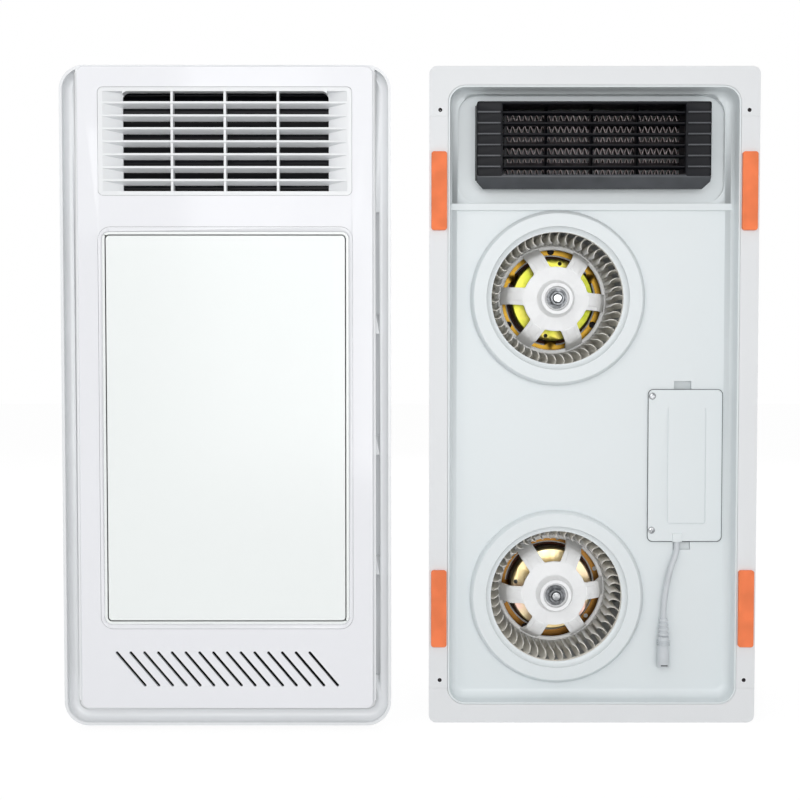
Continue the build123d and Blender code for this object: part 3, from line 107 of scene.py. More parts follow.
SCREW_HEAD = (
    (None, 0.0011), (None, 0.0), (0.72, 0.0), (0.9, 0.0003), (1.0, 0.0009), (1.0, 0.0016), (0.6, 0.0016),
)
SCREW_GROWTH, RECESS_WIDTH, RECESS_LENGTH = 1.12, 0.15, 0.6

FIN_ROWS, FIN_HEIGHT, FIN_STEP = 6, 0.006, 0.01006
FIN_POINTS, FIN_SQUARENESS, FIN_THICKNESS = 8, 0.6, 0.0005
END_MARGIN = 0.0065
END_RAIL = {"width": 0.0015, "height": 0.0009, "edge": 0.0003}

DIFFUSER_CORNER = 0.0068
DIFFUSER_STEPS = (
    (0.0, 0.0024), (0.0, 0.0006), (0.0002, 0.0002), (0.0006, 0.0), (0.0026, 0.0), (0.0028, 0.0005),
    (0.0034, 0.0005), (0.0036, 0.0), (0.012, -0.00004), (0.04, -0.00008),
)

CABLE_START = (81.5, 20.2, -134.0)
CABLE_LEAN, CABLE_STRAIGHT = 22, 10
CABLE_ROUTE = (
    (76.6, 14.4, -155.0), (72.4, 13.7, -169.0), (69.6, 13.4, -185.0), (68.4, 13.2, -196.5),
    (68.4, 13.2, -206.0),
)

STAGE_X = -0.16
CAMERA_AIM = (-0.1765, 0, -0.0024)
FLOOR_GLOW, FLOOR_SHARE, WORLD_LIGHT = 1.08, 0.85, 0.5
LAMPS = (
    ("key softbox", (-1.1, -2.2, 1.1), 1.6, 10),
    ("front softbox", (-0.1, -2.4, 0.2), 1.3, 14),
    ("low softbox", (0.1, -1.9, -0.1), 1.0, 2),
    ("fill softbox", (1.5, -1.9, 0.5), 1.8, 1),
    ("top softbox", (-0.2, -0.5, 2.2), 1.6, 3.5),
    ("rear softbox", (0.3, 2.2, 1.3), 2.0, 17),
)


def linear(text):
    """sRGB hex text to linear red, green, blue and alpha."""
    channels = [int(text[i:i + 2], 16) / 255 for i in (1, 3, 5)]
    return [c / 12.92 if c <= 0.04045 else ((c + 0.055) / 1.055) ** 2.4 for c in channels] + [1.0]


def colour_property(name, text, about):
    return FloatVectorProperty(
        name=name, description=about, default=linear(text), size=4, min=0, max=1, subtype="COLOR"
    )


def length_property(name, metres, about):
    return FloatProperty(
        name=name, description=about, default=metres, min=0, unit="LENGTH", subtype="DISTANCE"
    )


class HeaterColours(bpy.types.PropertyGroup):
    powder_coat: colour_property("Powder coat", "#E6E8EA", "Painted sheet of the housing and its flange")
    deck: colour_property("Deck", "#E4EAEC", "Moulded pan inside the mouth")
    face: colour_property("Face", "#F1F2F6", "Glossy face plate of the front panel")
    panel: colour_property("Panel", "#ECEEF0", "Moulded frame of the front panel")
    diffuser: colour_property("Diffuser", "#F6FAF9", "Opal cover of the light")
    foam: colour_property("Cushion foam", "#FF8856", "Foam pads on the flange")
    hub: colour_property("Wheel hub", "#F8F9FA", "Front of the fan wheels")
    # The blades' warmer tint is painted shade for the dim light deep in the wheels.
    blades: colour_property("Wheel blades", "#F3F0E7", "Blades of the fan wheels")
    cable: colour_property("Cable", "#CDD2D6", "Sheath of the light cable")
    black: colour_property("Black plastic", "#0A0C13", "Outlet frame and swing blades")


class HeaterSizes(bpy.types.PropertyGroup):
    edge: length_property("Grille edge", 0.0003, "Radius of the grille's moulded edges")
    cable: length_property("Cable diameter", 0.0055, "Diameter of the light cable")
    fin_pitch: length_property("Fin pitch", 0.0056, "Length of one fold of a heater fin strip")
    # The greyer lip is a painted sheen.
    lip_height: length_property("Lip height", 0.013, "Height of the greyer lip below the swing blades")
    camera_distance: length_property("Camera distance", 1.2, "From the camera to the flange")
    camera_rise: length_property("Camera rise", 0.047, "Height of the camera over the middle of the picture")
    view_width: length_property("View width", 0.7305, "Width of the picture at the flange")


def colours():
    return bpy.context.scene.heater_colours


def sizes():
    return bpy.context.scene.heater_sizes


# Finishes


def add(tree, kind, settings=None, links=None):
    """Adds a node, sets its attributes or inputs, and links its inputs from (node, output) pairs."""
    new = tree.nodes.new(kind)
    for key, value in (settings or {}).items():
        if key in new.inputs:
            new.inputs[key].default_value = value
        else:
            setattr(new, key, value)
    for key, (source, output) in (links or {}).items():
        tree.links.new(source.outputs[output], new.inputs[key])
    return new


def start(name, **shader):
    """A new material with its shader, its output and object coordinates."""
    material = bpy.data.materials.new(name)
    material.use_nodes = True
    tree = material.node_tree
    tree.nodes.clear()
    surface = add(tree, "ShaderNodeBsdfPrincipled", shader)
    add(tree, "ShaderNodeOutputMaterial", links={"Surface": (surface, "BSDF")})
    place = add(tree, "ShaderNodeTexCoord")
    return material, tree, surface, place


def shade(colour, factor):
    return [c * factor for c in colour[:3]] + [1.0]


def pattern(tree, place, kind, **settings):
    """A texture on object coordinates."""
    return add(tree, "ShaderNodeTex" + kind, settings, {"Vector": (place, "Object")})


def by_depth(tree, place, near, far):
    """Runs from 0 to 1 between two depths behind the flange."""
    depth = add(tree, "ShaderNodeSeparateXYZ", links={"Vector": (place, "Object")})
    return add(tree, "ShaderNodeMapRange", {"From Min": near, "From Max": far}, {"Value": (depth, "Y")})


def ramp_from(tree, source, low, high, ends=(0.0, 1.0)):
    """Colour ramp between two colours, led by a (node, output) pair."""
    ramp = add(tree, "ShaderNodeValToRGB", links={"Fac": source})
    first, last = ramp.color_ramp.elements
    first.position, last.position = ends
    first.color, last.color = low, high
    return ramp


def paint(tree, surface, ramp):
    tree.links.new(ramp.outputs["Color"], surface.inputs["Base Color"])


def bump_from(tree, surface, source, strength, distance):
    """Bump whose height is a (node, output) pair."""
    bump = add(tree, "ShaderNodeBump", {"Strength": strength, "Distance": distance}, {"Height": source})
    tree.links.new(bump.outputs["Normal"], surface.inputs["Normal"])


def grain(tree, surface, place, size, strength, distance=0.00005):
    """Bump from noise whose features are about size metres across."""
    noise = pattern(tree, place, "Noise", Scale=0.5 / size, Detail=3.0)
    bump_from(tree, surface, (noise, "Fac"), strength, distance)


def drift(tree, surface, place, low, high, scale, spread=(0.35, 0.65)):
    """Slow change of colour between two shades over the piece."""
    noise = pattern(tree, place, "Noise", Scale=scale, Detail=1.5)
    ramp = ramp_from(tree, (noise, "Fac"), low, high, spread)
    paint(tree, surface, ramp)
    return ramp


def powder_coat():
    """Polyester powder coat on steel sheet: satin, with a fine orange peel of about a millimetre."""
    material, tree, surface, place = start("powder coated steel", Roughness=0.42, IOR=1.5)
    drift(tree, surface, place, shade(colours().powder_coat, 0.985), colours().powder_coat, 7)
    grain(tree, surface, place, 0.0011, 0.25, 0.00003)
    return material


def deck_abs():
    """Injection moulded ABS: soft gloss from a spark-eroded mould, cool white."""
    material, tree, surface, place = start("moulded ABS deck", Roughness=0.33, IOR=1.53)
    drift(tree, surface, place, shade(colours().deck, 0.975), colours().deck, 4)
    grain(tree, surface, place, 0.0006, 0.12, 0.00002)
    return material


def face_abs():
    """Gloss ABS from a polished mould: sharp but faint reflections."""
    material, tree, surface, place = start("gloss ABS face", Roughness=0.09, IOR=1.53)
    surface.inputs["Specular IOR Level"].default_value = 0.3
    surface.inputs["Coat Weight"].default_value = 0.08
    surface.inputs["Coat Roughness"].default_value = 0.04
    drift(tree, surface, place, shade(colours().face, 0.985), colours().face, 3)
    return material


def panel_abs():
    """Moulded ABS of the panel frame and grille, half gloss."""
    material, tree, surface, place = start("moulded ABS panel", Roughness=0.24, IOR=1.53)
    drift(tree, surface, place, shade(colours().panel, 0.98), colours().panel, 5)
    grain(tree, surface, place, 0.0008, 0.06, 0.00002)
    return material


def opal_pmma():
    """Opal acrylic: milky, half gloss, with a faint green tone."""
    material, tree, surface, place = start("opal acrylic", Roughness=0.2, IOR=1.49)
    drift(tree, surface, place, shade(colours().diffuser, 0.975), colours().diffuser, 3)
    return material


def eva_foam():
    """Closed-cell EVA foam: matte, with cut cells about 0.6 mm across."""
    material, tree, surface, place = start("EVA foam", Roughness=0.92, IOR=1.45)
    surface.inputs["Sheen Weight"].default_value = 0.15
    drift(tree, surface, place, shade(colours().foam, 0.86), colours().foam, 60)
    cells = pattern(tree, place, "Voronoi", Scale=1600)
    bump_from(tree, surface, (cells, "Distance"), 0.5, 0.0002)
    return material


def fan_radius(tree, place, fan):
    """Distance from a fan's axis."""
    centre = add(tree, "ShaderNodeVectorMath", {"operation": "SUBTRACT"}, {0: (place, "Object")})
    centre.inputs[1].default_value = (FAN_X, 0, FAN_Z[fan])
    flat = add(tree, "ShaderNodeVectorMath", {"operation": "MULTIPLY"}, {0: (centre, "Vector")})
    flat.inputs[1].default_value = (1, 0, 1)
    return add(tree, "ShaderNodeVectorMath", {"operation": "LENGTH"}, {0: (flat, "Vector")})


def fan_plastic(fan):
    """Glass-filled polypropylene wheel: white hub, and blades painted a warmer tint as painted shade for the
    dim light deep in the wheel; the plastic itself is one colour.
    """
    material, tree, surface, place = start(f"{fan} wheel polypropylene", Roughness=0.45, IOR=1.49)
    radius = fan_radius(tree, place, fan)
    # Painted shade: from 50 to 56 mm out, the colour turns from the hub's white to the blades' warmer tint.
    reach = add(
        tree, "ShaderNodeMapRange", {"From Min": 0.05, "From Max": 0.056}, {"Value": (radius, "Value")}
    )
    paint(tree, surface, ramp_from(tree, (reach, "Result"), colours().hub, colours().blades))
    grain(tree, surface, place, 0.0009, 0.12, 0.00003)
    return material


def gold_zinc(name, low, middle, high, shaded_wall, ears):
    """Yellow-passivated zinc on pressed steel: a thin film whose colour drifts over the dome, browner gold
    ears, and the side wall between them painted dark brown as painted shade.
    """
    material, tree, surface, place = start(name, Metallic=1.0, Roughness=0.3)
    dome = drift(tree, surface, place, linear(low), linear(high), 45, (0.3, 0.72))
    dome.color_ramp.elements.new(0.5).color = linear(middle)
    # Painted shade: the bell's side wall is dark brown, and the ears beyond it are a lighter gold.
    reach = by_depth(tree, place, 0.053, 0.077)
    side = ramp_from(tree, (reach, "Result"), linear(shaded_wall), linear(ears), (0.87, 0.895))
    front = by_depth(tree, place, 0.0572, 0.0592)
    both = add(
        tree, "ShaderNodeMixRGB",
        links={"Fac": (front, "Result"), "Color1": (dome, "Color"), "Color2": (side, "Color")},
    )
    paint(tree, surface, both)
    rough = pattern(tree, place, "Noise", Scale=160, Detail=4)
    spread = add(tree, "ShaderNodeMapRange", {"To Min": 0.22, "To Max": 0.42}, {"Value": (rough, "Fac")})
    tree.links.new(spread.outputs["Result"], surface.inputs["Roughness"])
    return material


def zinc_steel():
    """Zinc-plated sheet: cool grey metal with a faint spangle of about 6 mm."""
    material, tree, surface, place = start("zinc plated steel", Metallic=1.0, Roughness=0.36)
    cells = pattern(tree, place, "Voronoi", Scale=170)
    paint(tree, surface, ramp_from(tree, (cells, "Distance"), linear("#B4B8BC"), linear("#C9CCCF")))
    grain(tree, surface, place, 0.0015, 0.08)
    return material


def bright_steel():
    """Turned and plated steel: fine rings, bright highlights."""
    material, tree, surface, place = start("bright steel", Metallic=1.0, Roughness=0.22)
    drift(tree, surface, place, linear("#8B8D90"), linear("#C2C4C6"), 300)
    grain(tree, surface, place, 0.0004, 0.15, 0.00002)
    return material


def dark_steel():
    """Steel of the fan nuts painted a darker grey as painted shade for the recess they sit in, with softer
    highlights.
    """
    material, tree, surface, place = start("steel with painted shade", Metallic=1.0, Roughness=0.34)
    drift(tree, surface, place, linear("#56585A"), linear("#7D7F82"), 300)
    grain(tree, surface, place, 0.0005, 0.2, 0.00003)
    return material


def black_pbt():
    """Glass-filled PBT: heat-proof, nearly black, dull with a bluish sheen."""
    material, tree, surface, place = start("black PBT", Roughness=0.46, IOR=1.55)
    surface.inputs["Specular IOR Level"].default_value = 0.2
    drift(tree, surface, place, shade(colours().black, 0.8), colours().black, 25)
    grain(tree, surface, place, 0.0005, 0.25, 0.00003)
    return material


def fin_aluminium():
    """Thin rolled aluminium, folded: bright creases in front, and a painted shade that darkens the folds to
    near black behind them.
    """
    material, tree, surface, place = start("folded aluminium", Metallic=1.0, Roughness=0.38)
    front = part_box("heater_fins")[0].y
    # Painted shade: bright at the fins' front, near black 4 mm deeper into the folds.
    reach = by_depth(tree, place, front, front + 0.004)
    paint(tree, surface, ramp_from(tree, (reach, "Result"), linear("#E6D8DA"), linear("#171415")))
    grain(tree, surface, place, 0.0006, 0.4, 0.00005)
    return material


def dull_aluminium():
    """Anodised tubes of the heating element: dark grey, nearly matte."""
    material, tree, surface, place = start("dull aluminium", Metallic=1.0, Roughness=0.6)
    drift(tree, surface, place, linear("#2B282A"), linear("#3B3739"), 120)
    grain(tree, surface, place, 0.0006, 0.3, 0.00004)
    return material


def painted_seam_shadow():
    """Painted shadow: a dark strip standing in for the shade in a seam, matte, drifting slowly to a lighter
    grey.
    """
    material, tree, surface, place = start("painted seam shadow", Roughness=0.9, IOR=1.5)
    surface.inputs["Specular IOR Level"].default_value = 0.2
    drift(tree, surface, place, linear("#2E3032"), linear("#5C5F62"), 30)
    return material


def lip_pbt_painted_sheen():
    """The outlet's slanted lip: the same PBT painted a greyer satin, a painted sheen where the lip faces up
    and out.
    """
    material, tree, surface, place = start("PBT with painted sheen", Roughness=0.4, IOR=1.55)
    drift(tree, surface, place, linear("#33363B"), linear("#42454A"), 40)
    grain(tree, surface, place, 0.0005, 0.2, 0.00003)
    return material


def cable_pvc():
    """Extruded PVC sheath: soft grey-white, slightly waxy."""
    material, tree, surface, place = start("cable PVC", Roughness=0.42, IOR=1.53)
    drift(tree, surface, place, shade(colours().cable, 0.95), colours().cable, 80)
    grain(tree, surface, place, 0.0005, 0.2, 0.00003)
    return material


def winding_enamel():
    """Enamelled copper wire on the stator: dark red-brown, wires about 0.75 mm apart."""
    material, tree, surface, place = start("enamelled winding", Roughness=0.35, IOR=1.6)
    drift(tree, surface, place, linear("#3A1D10"), linear("#6B3A1E"), 90)
    wires = pattern(tree, place, "Wave", Scale=420, Distortion=2.0)
    bump_from(tree, surface, (wires, "Fac"), 0.6, 0.0003)
    return material


def shade_filter_foam():
    """Open-cell filter foam: black, rough, with pores of about 1 mm; its black is painted shade for the dark
    behind the intake slots.
    """
    material, tree, surface, place = start("filter foam", Roughness=0.95, IOR=1.45)
    drift(tree, surface, place, linear("#050505"), linear("#16171A"), 700)
    grain(tree, surface, place, 0.001, 0.8, 0.0004)
    return material


def scroll_abs():
    """Plain moulded housing parts behind the deck, matte."""
    material, tree, surface, place = start("plain moulded ABS", Roughness=0.5, IOR=1.53)
    drift(tree, surface, place, linear("#D4D6D6"), linear("#DEE0E0"), 6)
    grain(tree, surface, place, 0.001, 0.15)
    return material


MAKERS = {
    "powder": powder_coat, "deck": deck_abs, "face": face_abs, "panel": panel_abs, "opal": opal_pmma,
    "foam": eva_foam, "zinc": zinc_steel, "steel": bright_steel, "black": black_pbt, "fins": fin_aluminium,
    "bars": dull_aluminium, "nut": dark_steel, "seam": painted_seam_shadow, "lip": lip_pbt_painted_sheen,
    "cable": cable_pvc, "winding": winding_enamel, "filter": shade_filter_foam, "scroll": scroll_abs,
    "heating wheel": lambda: fan_plastic("heating"),
    "exhaust wheel": lambda: fan_plastic("exhaust"),
    # The fourth colour of each is painted shade on the bell's side wall.
    "heating gold": lambda: gold_zinc(
        "olive gold zinc", "#8E9A2A", "#A9A544", "#B79B60", "#54401A", "#8E6E28"
    ),
    "exhaust gold": lambda: gold_zinc(
        "rose gold zinc", "#E2C280", "#F1E0B2", "#F0C8BE", "#5C5420", "#946A34"
    ),
}
made = {}


def finish(name):
    """The material of that name, made when it is first asked for."""
    if name not in made:
        made[name] = MAKERS[name]()
    return made[name]


# Shapes


def body_of(node):
    """Body that a CAD node rides on."""
    groups = frame["record"]["behaviour"]["bodies"]
    return next(body for body, members in groups.items() if node in members)


def slot_of(node):
    return next(s["material_slot"] for s in frame["record"]["subparts"] if s["node"] == node)


def place_piece(name, mesh, body, slot, *nodes):
    """Adds a piece that rides on a body and stands for any CAD nodes given."""
    piece = bpy.data.objects.new(name, mesh)
    bpy.context.scene.collection.objects.link(piece)
    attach(piece, body)
    if nodes:
        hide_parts(*nodes)
    return piece


def smooth(mesh, angle):
    mesh.shade_smooth()
    mesh.set_sharp_from_angle(angle=radians(angle))


def weigh_normals(piece):
    weighted = piece.modifiers.new("flat faces lead", "WEIGHTED_NORMAL")
    weighted.keep_sharp = True
    weighted.weight = 100


def bevel_edges(piece, width):
    bevel = piece.modifiers.new("moulded edge", "BEVEL")
    bevel.width = width
    bevel.segments = 2
    bevel.limit_method = "ANGLE"
    bevel.angle_limit = radians(40)
    bevel.harden_normals = True


def stand_in(node, mesh):
    """The finished piece of one CAD node."""
    return place_piece(node + "_finished", mesh, body_of(node), slot_of(node), node)


def smoothed(node, material, angle=32, edge=0.0, flat=False):
    """Piece with a CAD node's own shape, its vertices merged so that its round faces shade as round."""
    bm = bmesh.new()
    bm.from_mesh(frame["nodes"][node].data)
    bmesh.ops.remove_doubles(bm, verts=bm.verts, dist=MERGE)
    if edge or flat:
        bmesh.ops.dissolve_limit(bm, angle_limit=radians(0.5), verts=bm.verts, edges=bm.edges)
    for face in bm.faces:
        face.material_index = 0
    piece = stand_in(node, closed_mesh(bm, node, material, angle))
    if edge:
        bevel_edges(piece, edge)
    else:
        weigh_normals(piece)
    return piece


def closed_mesh(bm, name, material, angle=32):
    mesh = bpy.data.meshes.new(name + "_surface")
    bm.to_mesh(mesh)
    bm.free()
    mesh.materials.append(finish(material))
    smooth(mesh, angle)
    return mesh


def rounded_loop(bm, half_width, half_height, corner, centre, y, steps=8):
    """Closed loop of edges on a rounded rectangle that faces the viewer."""
    verts = []
    for quarter, (side, end) in enumerate(((1, 1), (-1, 1), (-1, -1), (1, -1))):
        for step in range(steps + 1):
            angle = pi / 2 * (quarter + step / steps)
            x = centre[0] + side * (half_width - corner) + corner * cos(angle)
            z = centre[1] + end * (half_height - corner) + corner * sin(angle)
            verts.append(bm.verts.new((x, y, z)))
    return [bm.edges.new(pair) for pair in zip(verts, verts[1:] + verts[:1])]


def moulded_plate(node, name, material, corner, profile):
    """Plate with a CAD node's outline; profile steps in from its edge as (inset, depth behind the front)."""
    low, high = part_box(node)
    middle = (low + high) / 2
    half = (high - low) / 2
    bm = bmesh.new()
    loops = []
    for inset, depth in profile:
        radius = max(corner - inset, 0.001)
        loops.append(
            rounded_loop(bm, half.x - inset, half.z - inset, radius, (middle.x, middle.z), low.y + depth)
        )
    for near, far in zip(loops, loops[1:]):
        bmesh.ops.bridge_loops(bm, edges=near + far)
    for end in (loops[0], loops[-1]):
        bmesh.ops.contextual_create(bm, geom=end)
    bmesh.ops.recalc_face_normals(bm, faces=bm.faces)
    piece = place_piece(name, closed_mesh(bm, name, material, 50), body_of(node), slot_of(node), node)
    weigh_normals(piece)
    return piece


def spun(bm, outline, centre, steps=96):
    """Turns an outline of (radius, depth) round a fan axis at centre."""
    verts = [bm.verts.new((centre.x + radius, depth, centre.z)) for radius, depth in outline]
    edges = [bm.edges.new(pair) for pair in zip(verts, verts[1:] + verts[:1])]
    bmesh.ops.spin(
        bm, geom=verts + edges, cent=centre, axis=(0, 1, 0), angle=2 * pi, steps=steps,
        use_merge=True, use_duplicate=False,
    )
    bmesh.ops.remove_doubles(bm, verts=bm.verts, dist=MERGE)
    bmesh.ops.recalc_face_normals(bm, faces=bm.faces)


def add_ring(bm, outline, centre, steps, turn=None):
    """Spins a ring by itself, so that its merge and normals leave the other rings alone, and adds it."""
    ring = bmesh.new()
    spun(ring, outline, centre, steps)
    if turn:
        bmesh.ops.transform(ring, matrix=turn, verts=ring.verts)
    mesh = bpy.data.meshes.new("ring")
    ring.to_mesh(mesh)
    ring.free()
    bm.from_mesh(mesh)
    bpy.data.meshes.remove(mesh)


def facing(place):
    """Matrix that stands a flat shape up at place, facing the viewer."""
    turn = Matrix.Rotation(radians(90), 4, "X")
    turn.translation = Vector(place)
    return turn


def raised_pad(bm, place, length, width, height, edge):
    """Moulded pad on the plane of place, its upper edges rounded."""
    made_now = bmesh.ops.create_grid(bm, x_segments=1, y_segments=1, size=0.5)["verts"]
    bmesh.ops.scale(bm, vec=(length, width, 1), verts=made_now)
    face = made_now[0].link_faces[0]
    top = bmesh.ops.extrude_face_region(bm, geom=[face])["geom"]
    top_verts = [item for item in top if isinstance(item, bmesh.types.BMVert)]
    bmesh.ops.translate(bm, vec=(0, 0, height), verts=top_verts)
    rim = [item for item in top if isinstance(item, bmesh.types.BMEdge)]
    rounded = bmesh.ops.bevel(
        bm, geom=rim, offset=edge, affect="EDGES", segments=2, profile=0.5, material=-1, clamp_overlap=True
    )
    everything = set(made_now) | set(top_verts) | set(rounded["verts"])
    bmesh.ops.transform(bm, matrix=place, verts=[v for v in everything if v.is_valid])


def islands(node):
    """Low and high corners of each separate solid in a CAD node."""
    bm = bmesh.new()
    bm.from_mesh(frame["nodes"][node].data)
    bmesh.ops.remove_doubles(bm, verts=bm.verts, dist=MERGE)
    left = set(bm.verts)
    boxes = []
    while left:
        found = [left.pop()]
        for vert in found:
            near = {edge.other_vert(vert) for edge in vert.link_edges} & left
            left -= near
            found.extend(near)
        boxes.append([Vector(side(v.co[i] for v in found) for i in range(3)) for side in (min, max)])
    bm.free()
    return sorted(boxes, key=lambda box: tuple(box[0]))


def cross_edge(angle, half_width, half_length):
    """Distance from the middle of a cross recess to its edge."""
    c, s = max(abs(cos(angle)), 1e-6), max(abs(sin(angle)), 1e-6)
    return max(min(half_length / c, half_width / s), min(half_length / s, half_width / c))


def cross_screws(node, material, steps=48):
    """Domed screws with a cross recess, one where each screw of a CAD node is."""
    bm = bmesh.new()
    for low, high in islands(node):
        x, z = (low.x + high.x) / 2, (low.z + high.z) / 2
        head = (high.x - low.x) / 2 * SCREW_GROWTH
        rings = []
        for part, depth in SCREW_HEAD:
            ring = []
            for step in range(steps):
                angle = 2 * pi * (step + 0.5) / steps
                radius = head * (part or 0)
                if part is None:
                    radius = cross_edge(angle, head * RECESS_WIDTH, head * RECESS_LENGTH)
                ring.append(bm.verts.new((x + radius * cos(angle), low.y + depth, z + radius * sin(angle))))
            rings.append(ring)
        shank = [bm.verts.new((v.co.x, high.y, v.co.z)) for v in rings[-1]]
        for near, far in zip(rings, rings[1:] + [shank]):
            for i in range(steps):
                bm.faces.new((near[i - 1], near[i], far[i], far[i - 1]))
        bm.faces.new(rings[0])
        bm.faces.new(shank)
    bmesh.ops.recalc_face_normals(bm, faces=bm.faces)
    return stand_in(node, closed_mesh(bm, node, material, 40))


def seam(name, node, corner, gap, depth):
    """Thin dark line in the gap round a CAD node's outline, just behind its front: a painted shadow for the
    gap.
    """
    low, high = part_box(node)
    middle, half = (low + high) / 2, (high - low) / 2
    bm = bmesh.new()
    loops = []
    for grow in (-0.0001, gap):
        loops.append(
            rounded_loop(bm, half.x + grow, half.z + grow, corner + grow, (middle.x, middle.z), low.y + depth)
        )
    bmesh.ops.bridge_loops(bm, edges=loops[0] + loops[1])
    bmesh.ops.solidify(bm, geom=bm.faces[:], thickness=0.0003)
    bmesh.ops.recalc_face_normals(bm, faces=bm.faces)
    return place_piece(name, closed_mesh(bm, name, "seam", 40), body_of(node), slot_of(node))


def seen_rays(tree):
    """One for rays from the camera, off gloss or through glass, and nought for light on the pieces."""
    path = add(tree, "ShaderNodeLightPath")
    share = add(
        tree, "ShaderNodeMath", {"operation": "MAXIMUM"},
        {0: (path, "Is Camera Ray"), 1: (path, "Is Glossy Ray")},
    )
    return add(
        tree, "ShaderNodeMath", {"operation": "MAXIMUM"},
        {0: (share, "Value"), 1: (path, "Is Transmission Ray")},
    )


class HeaterOperator:
    bl_options = {"REGISTER", "UNDO"}


class HEATER_OT_stage(HeaterOperator, bpy.types.Operator):
    """Pale floor, soft lamps, white surroundings and the camera"""
    bl_idname = "heater.stage"
    bl_label = "Stage"

    def execute(self, context):
        scene = context.scene
        scene.view_settings.view_transform = "Standard"
        self.make_floor()
        self.make_world(scene)
        centre = Vector((STAGE_X, 0, 0))
        for name, place, size, power in LAMPS:
            lamp = bpy.data.lights.new(name, "AREA")
            lamp.shape = "SQUARE"
            lamp.size = size
            lamp.energy = power
            holder = bpy.data.objects.new(name, lamp)
            holder.location = place
            holder.rotation_euler = (centre - Vector(place)).to_track_quat("-Z", "Y").to_euler()
            scene.collection.objects.link(holder)
        self.make_camera(scene)
        return {"FINISHED"}

    def make_floor(self):
        bm = bmesh.new()
        bmesh.ops.create_grid(bm, x_segments=8, y_segments=8, size=6)
        bmesh.ops.translate(bm, verts=bm.verts, vec=(STAGE_X, 1.0, cad_box[0].z - 0.0002))
        mesh = bpy.data.meshes.new("studio_floor")
        bm.to_mesh(mesh)
        bm.free()
        floor = bpy.data.objects.new("studio_floor", mesh)
        bpy.context.scene.collection.objects.link(floor)
        material, tree, surface, _ = start("studio floor", Roughness=0.9)
        surface.inputs["Base Color"].default_value = linear("#E9E9E9")
        glow = add(tree, "ShaderNodeEmission", {"Color": WHITE, "Strength": FLOOR_GLOW})
        amount = add(tree, "ShaderNodeMath", {"operation": "MULTIPLY"}, {0: (seen_rays(tree), "Value")})
        amount.inputs[1].default_value = FLOOR_SHARE
        mix = add(
            tree, "ShaderNodeMixShader",
            links={0: (amount, "Value"), 1: (surface, "BSDF"), 2: (glow, "Emission")},
        )
        out = next(n for n in tree.nodes if n.type == "OUTPUT_MATERIAL")
        tree.links.new(mix.outputs["Shader"], out.inputs["Surface"])
        mesh.materials.append(material)

    def make_world(self, scene):
        world = bpy.data.worlds.new("white studio")
        world.use_nodes = True
        tree = world.node_tree
        tree.nodes.clear()
        dim = add(tree, "ShaderNodeBackground", {"Color": WHITE, "Strength": WORLD_LIGHT})
        white = add(tree, "ShaderNodeBackground", {"Color": WHITE, "Strength": 1.0})
        mix = add(
            tree, "ShaderNodeMixShader",
            links={0: (seen_rays(tree), "Value"), 1: (dim, "Background"), 2: (white, "Background")},
        )
        add(tree, "ShaderNodeOutputWorld", links={"Surface": (mix, "Shader")})
        scene.world = world

    def make_camera(self, scene):
        distance = sizes().camera_distance
        data = bpy.data.cameras.new("camera")
        data.sensor_width = 36
        data.lens = data.sensor_width * distance / sizes().view_width
        camera = bpy.data.objects.new("camera", data)
        aim = Vector(CAMERA_AIM)
        camera.location = aim + Vector((0, -distance, sizes().camera_rise))
        camera.rotation_euler = (aim - camera.location).to_track_quat("-Z", "Y").to_euler()
        scene.collection.objects.link(camera)
        scene.camera = camera


class HEATER_OT_light_cable(HeaterOperator, bpy.types.Operator):
    """Light cable on one smooth spline, from its bush under the junction lid to its connector"""
    bl_idname = "heater.light_cable"
    bl_label = "Light cable"

    def execute(self, context):
        lean = radians(CABLE_LEAN)
        begin = Vector(CABLE_START)
        points = [begin, begin + Vector((0, -sin(lean), -cos(lean))) * CABLE_STRAIGHT]
        points += [Vector(p) for p in CABLE_ROUTE]
        curve = bpy.data.curves.new("light_cable_line", "CURVE")
        curve.dimensions = "3D"
        curve.bevel_depth = sizes().cable / 2
        curve.bevel_resolution = 8
        curve.resolution_u = 16
        curve.use_fill_caps = True
        spline = curve.splines.new("NURBS")
        spline.points.add(len(points) - 1)
        for point, place in zip(spline.points, points):
            point.co = (*(place / 1000), 1)
        spline.order_u = 3
        spline.use_endpoint_u = True
        curve.materials.append(finish("cable"))
        cable = place_piece("light_cable_sheath", curve, "chassis", "cable_sheath", "light_cable")
        relief = smoothed("cable_relief", "cable")
        connector = smoothed("connector", "cable")
        smoothed("cable_bush", "cable")
        self.connector_rings()
        return {"FINISHED"}

    def connector_rings(self):
        """Grip rings, and a thin dark pad on the connector's mouth that is a painted shadow where its slot
        would be.
        """
        low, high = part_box("connector")
        centre = (low + high) / 2
        bm = bmesh.new()
        for step in range(GRIP_RINGS):
            turn = facing((centre.x, centre.y, high.z - GRIP_START - GRIP_STEP * step))
            add_ring(bm, GRIP_RING, Vector((0, 0, 0)), 48, turn)
        place_piece("connector_rings", closed_mesh(bm, "rings", "cable"), "chassis", slot_of("connector"))
        # Painted shadow: a dark pad stands in for the slot's shade in the mouth.
        slot = bmesh.new()
        place = facing((centre.x, low.y + MOUTH_DEPTH, low.z + MOUTH_RISE))
        raised_pad(slot, place, **MOUTH_SLOT)
        bmesh.ops.recalc_face_normals(slot, faces=slot.faces)
        place_piece("connector_mouth_shadow", closed_mesh(slot, "mouth", "seam"), "chassis", slot_of("connector"))


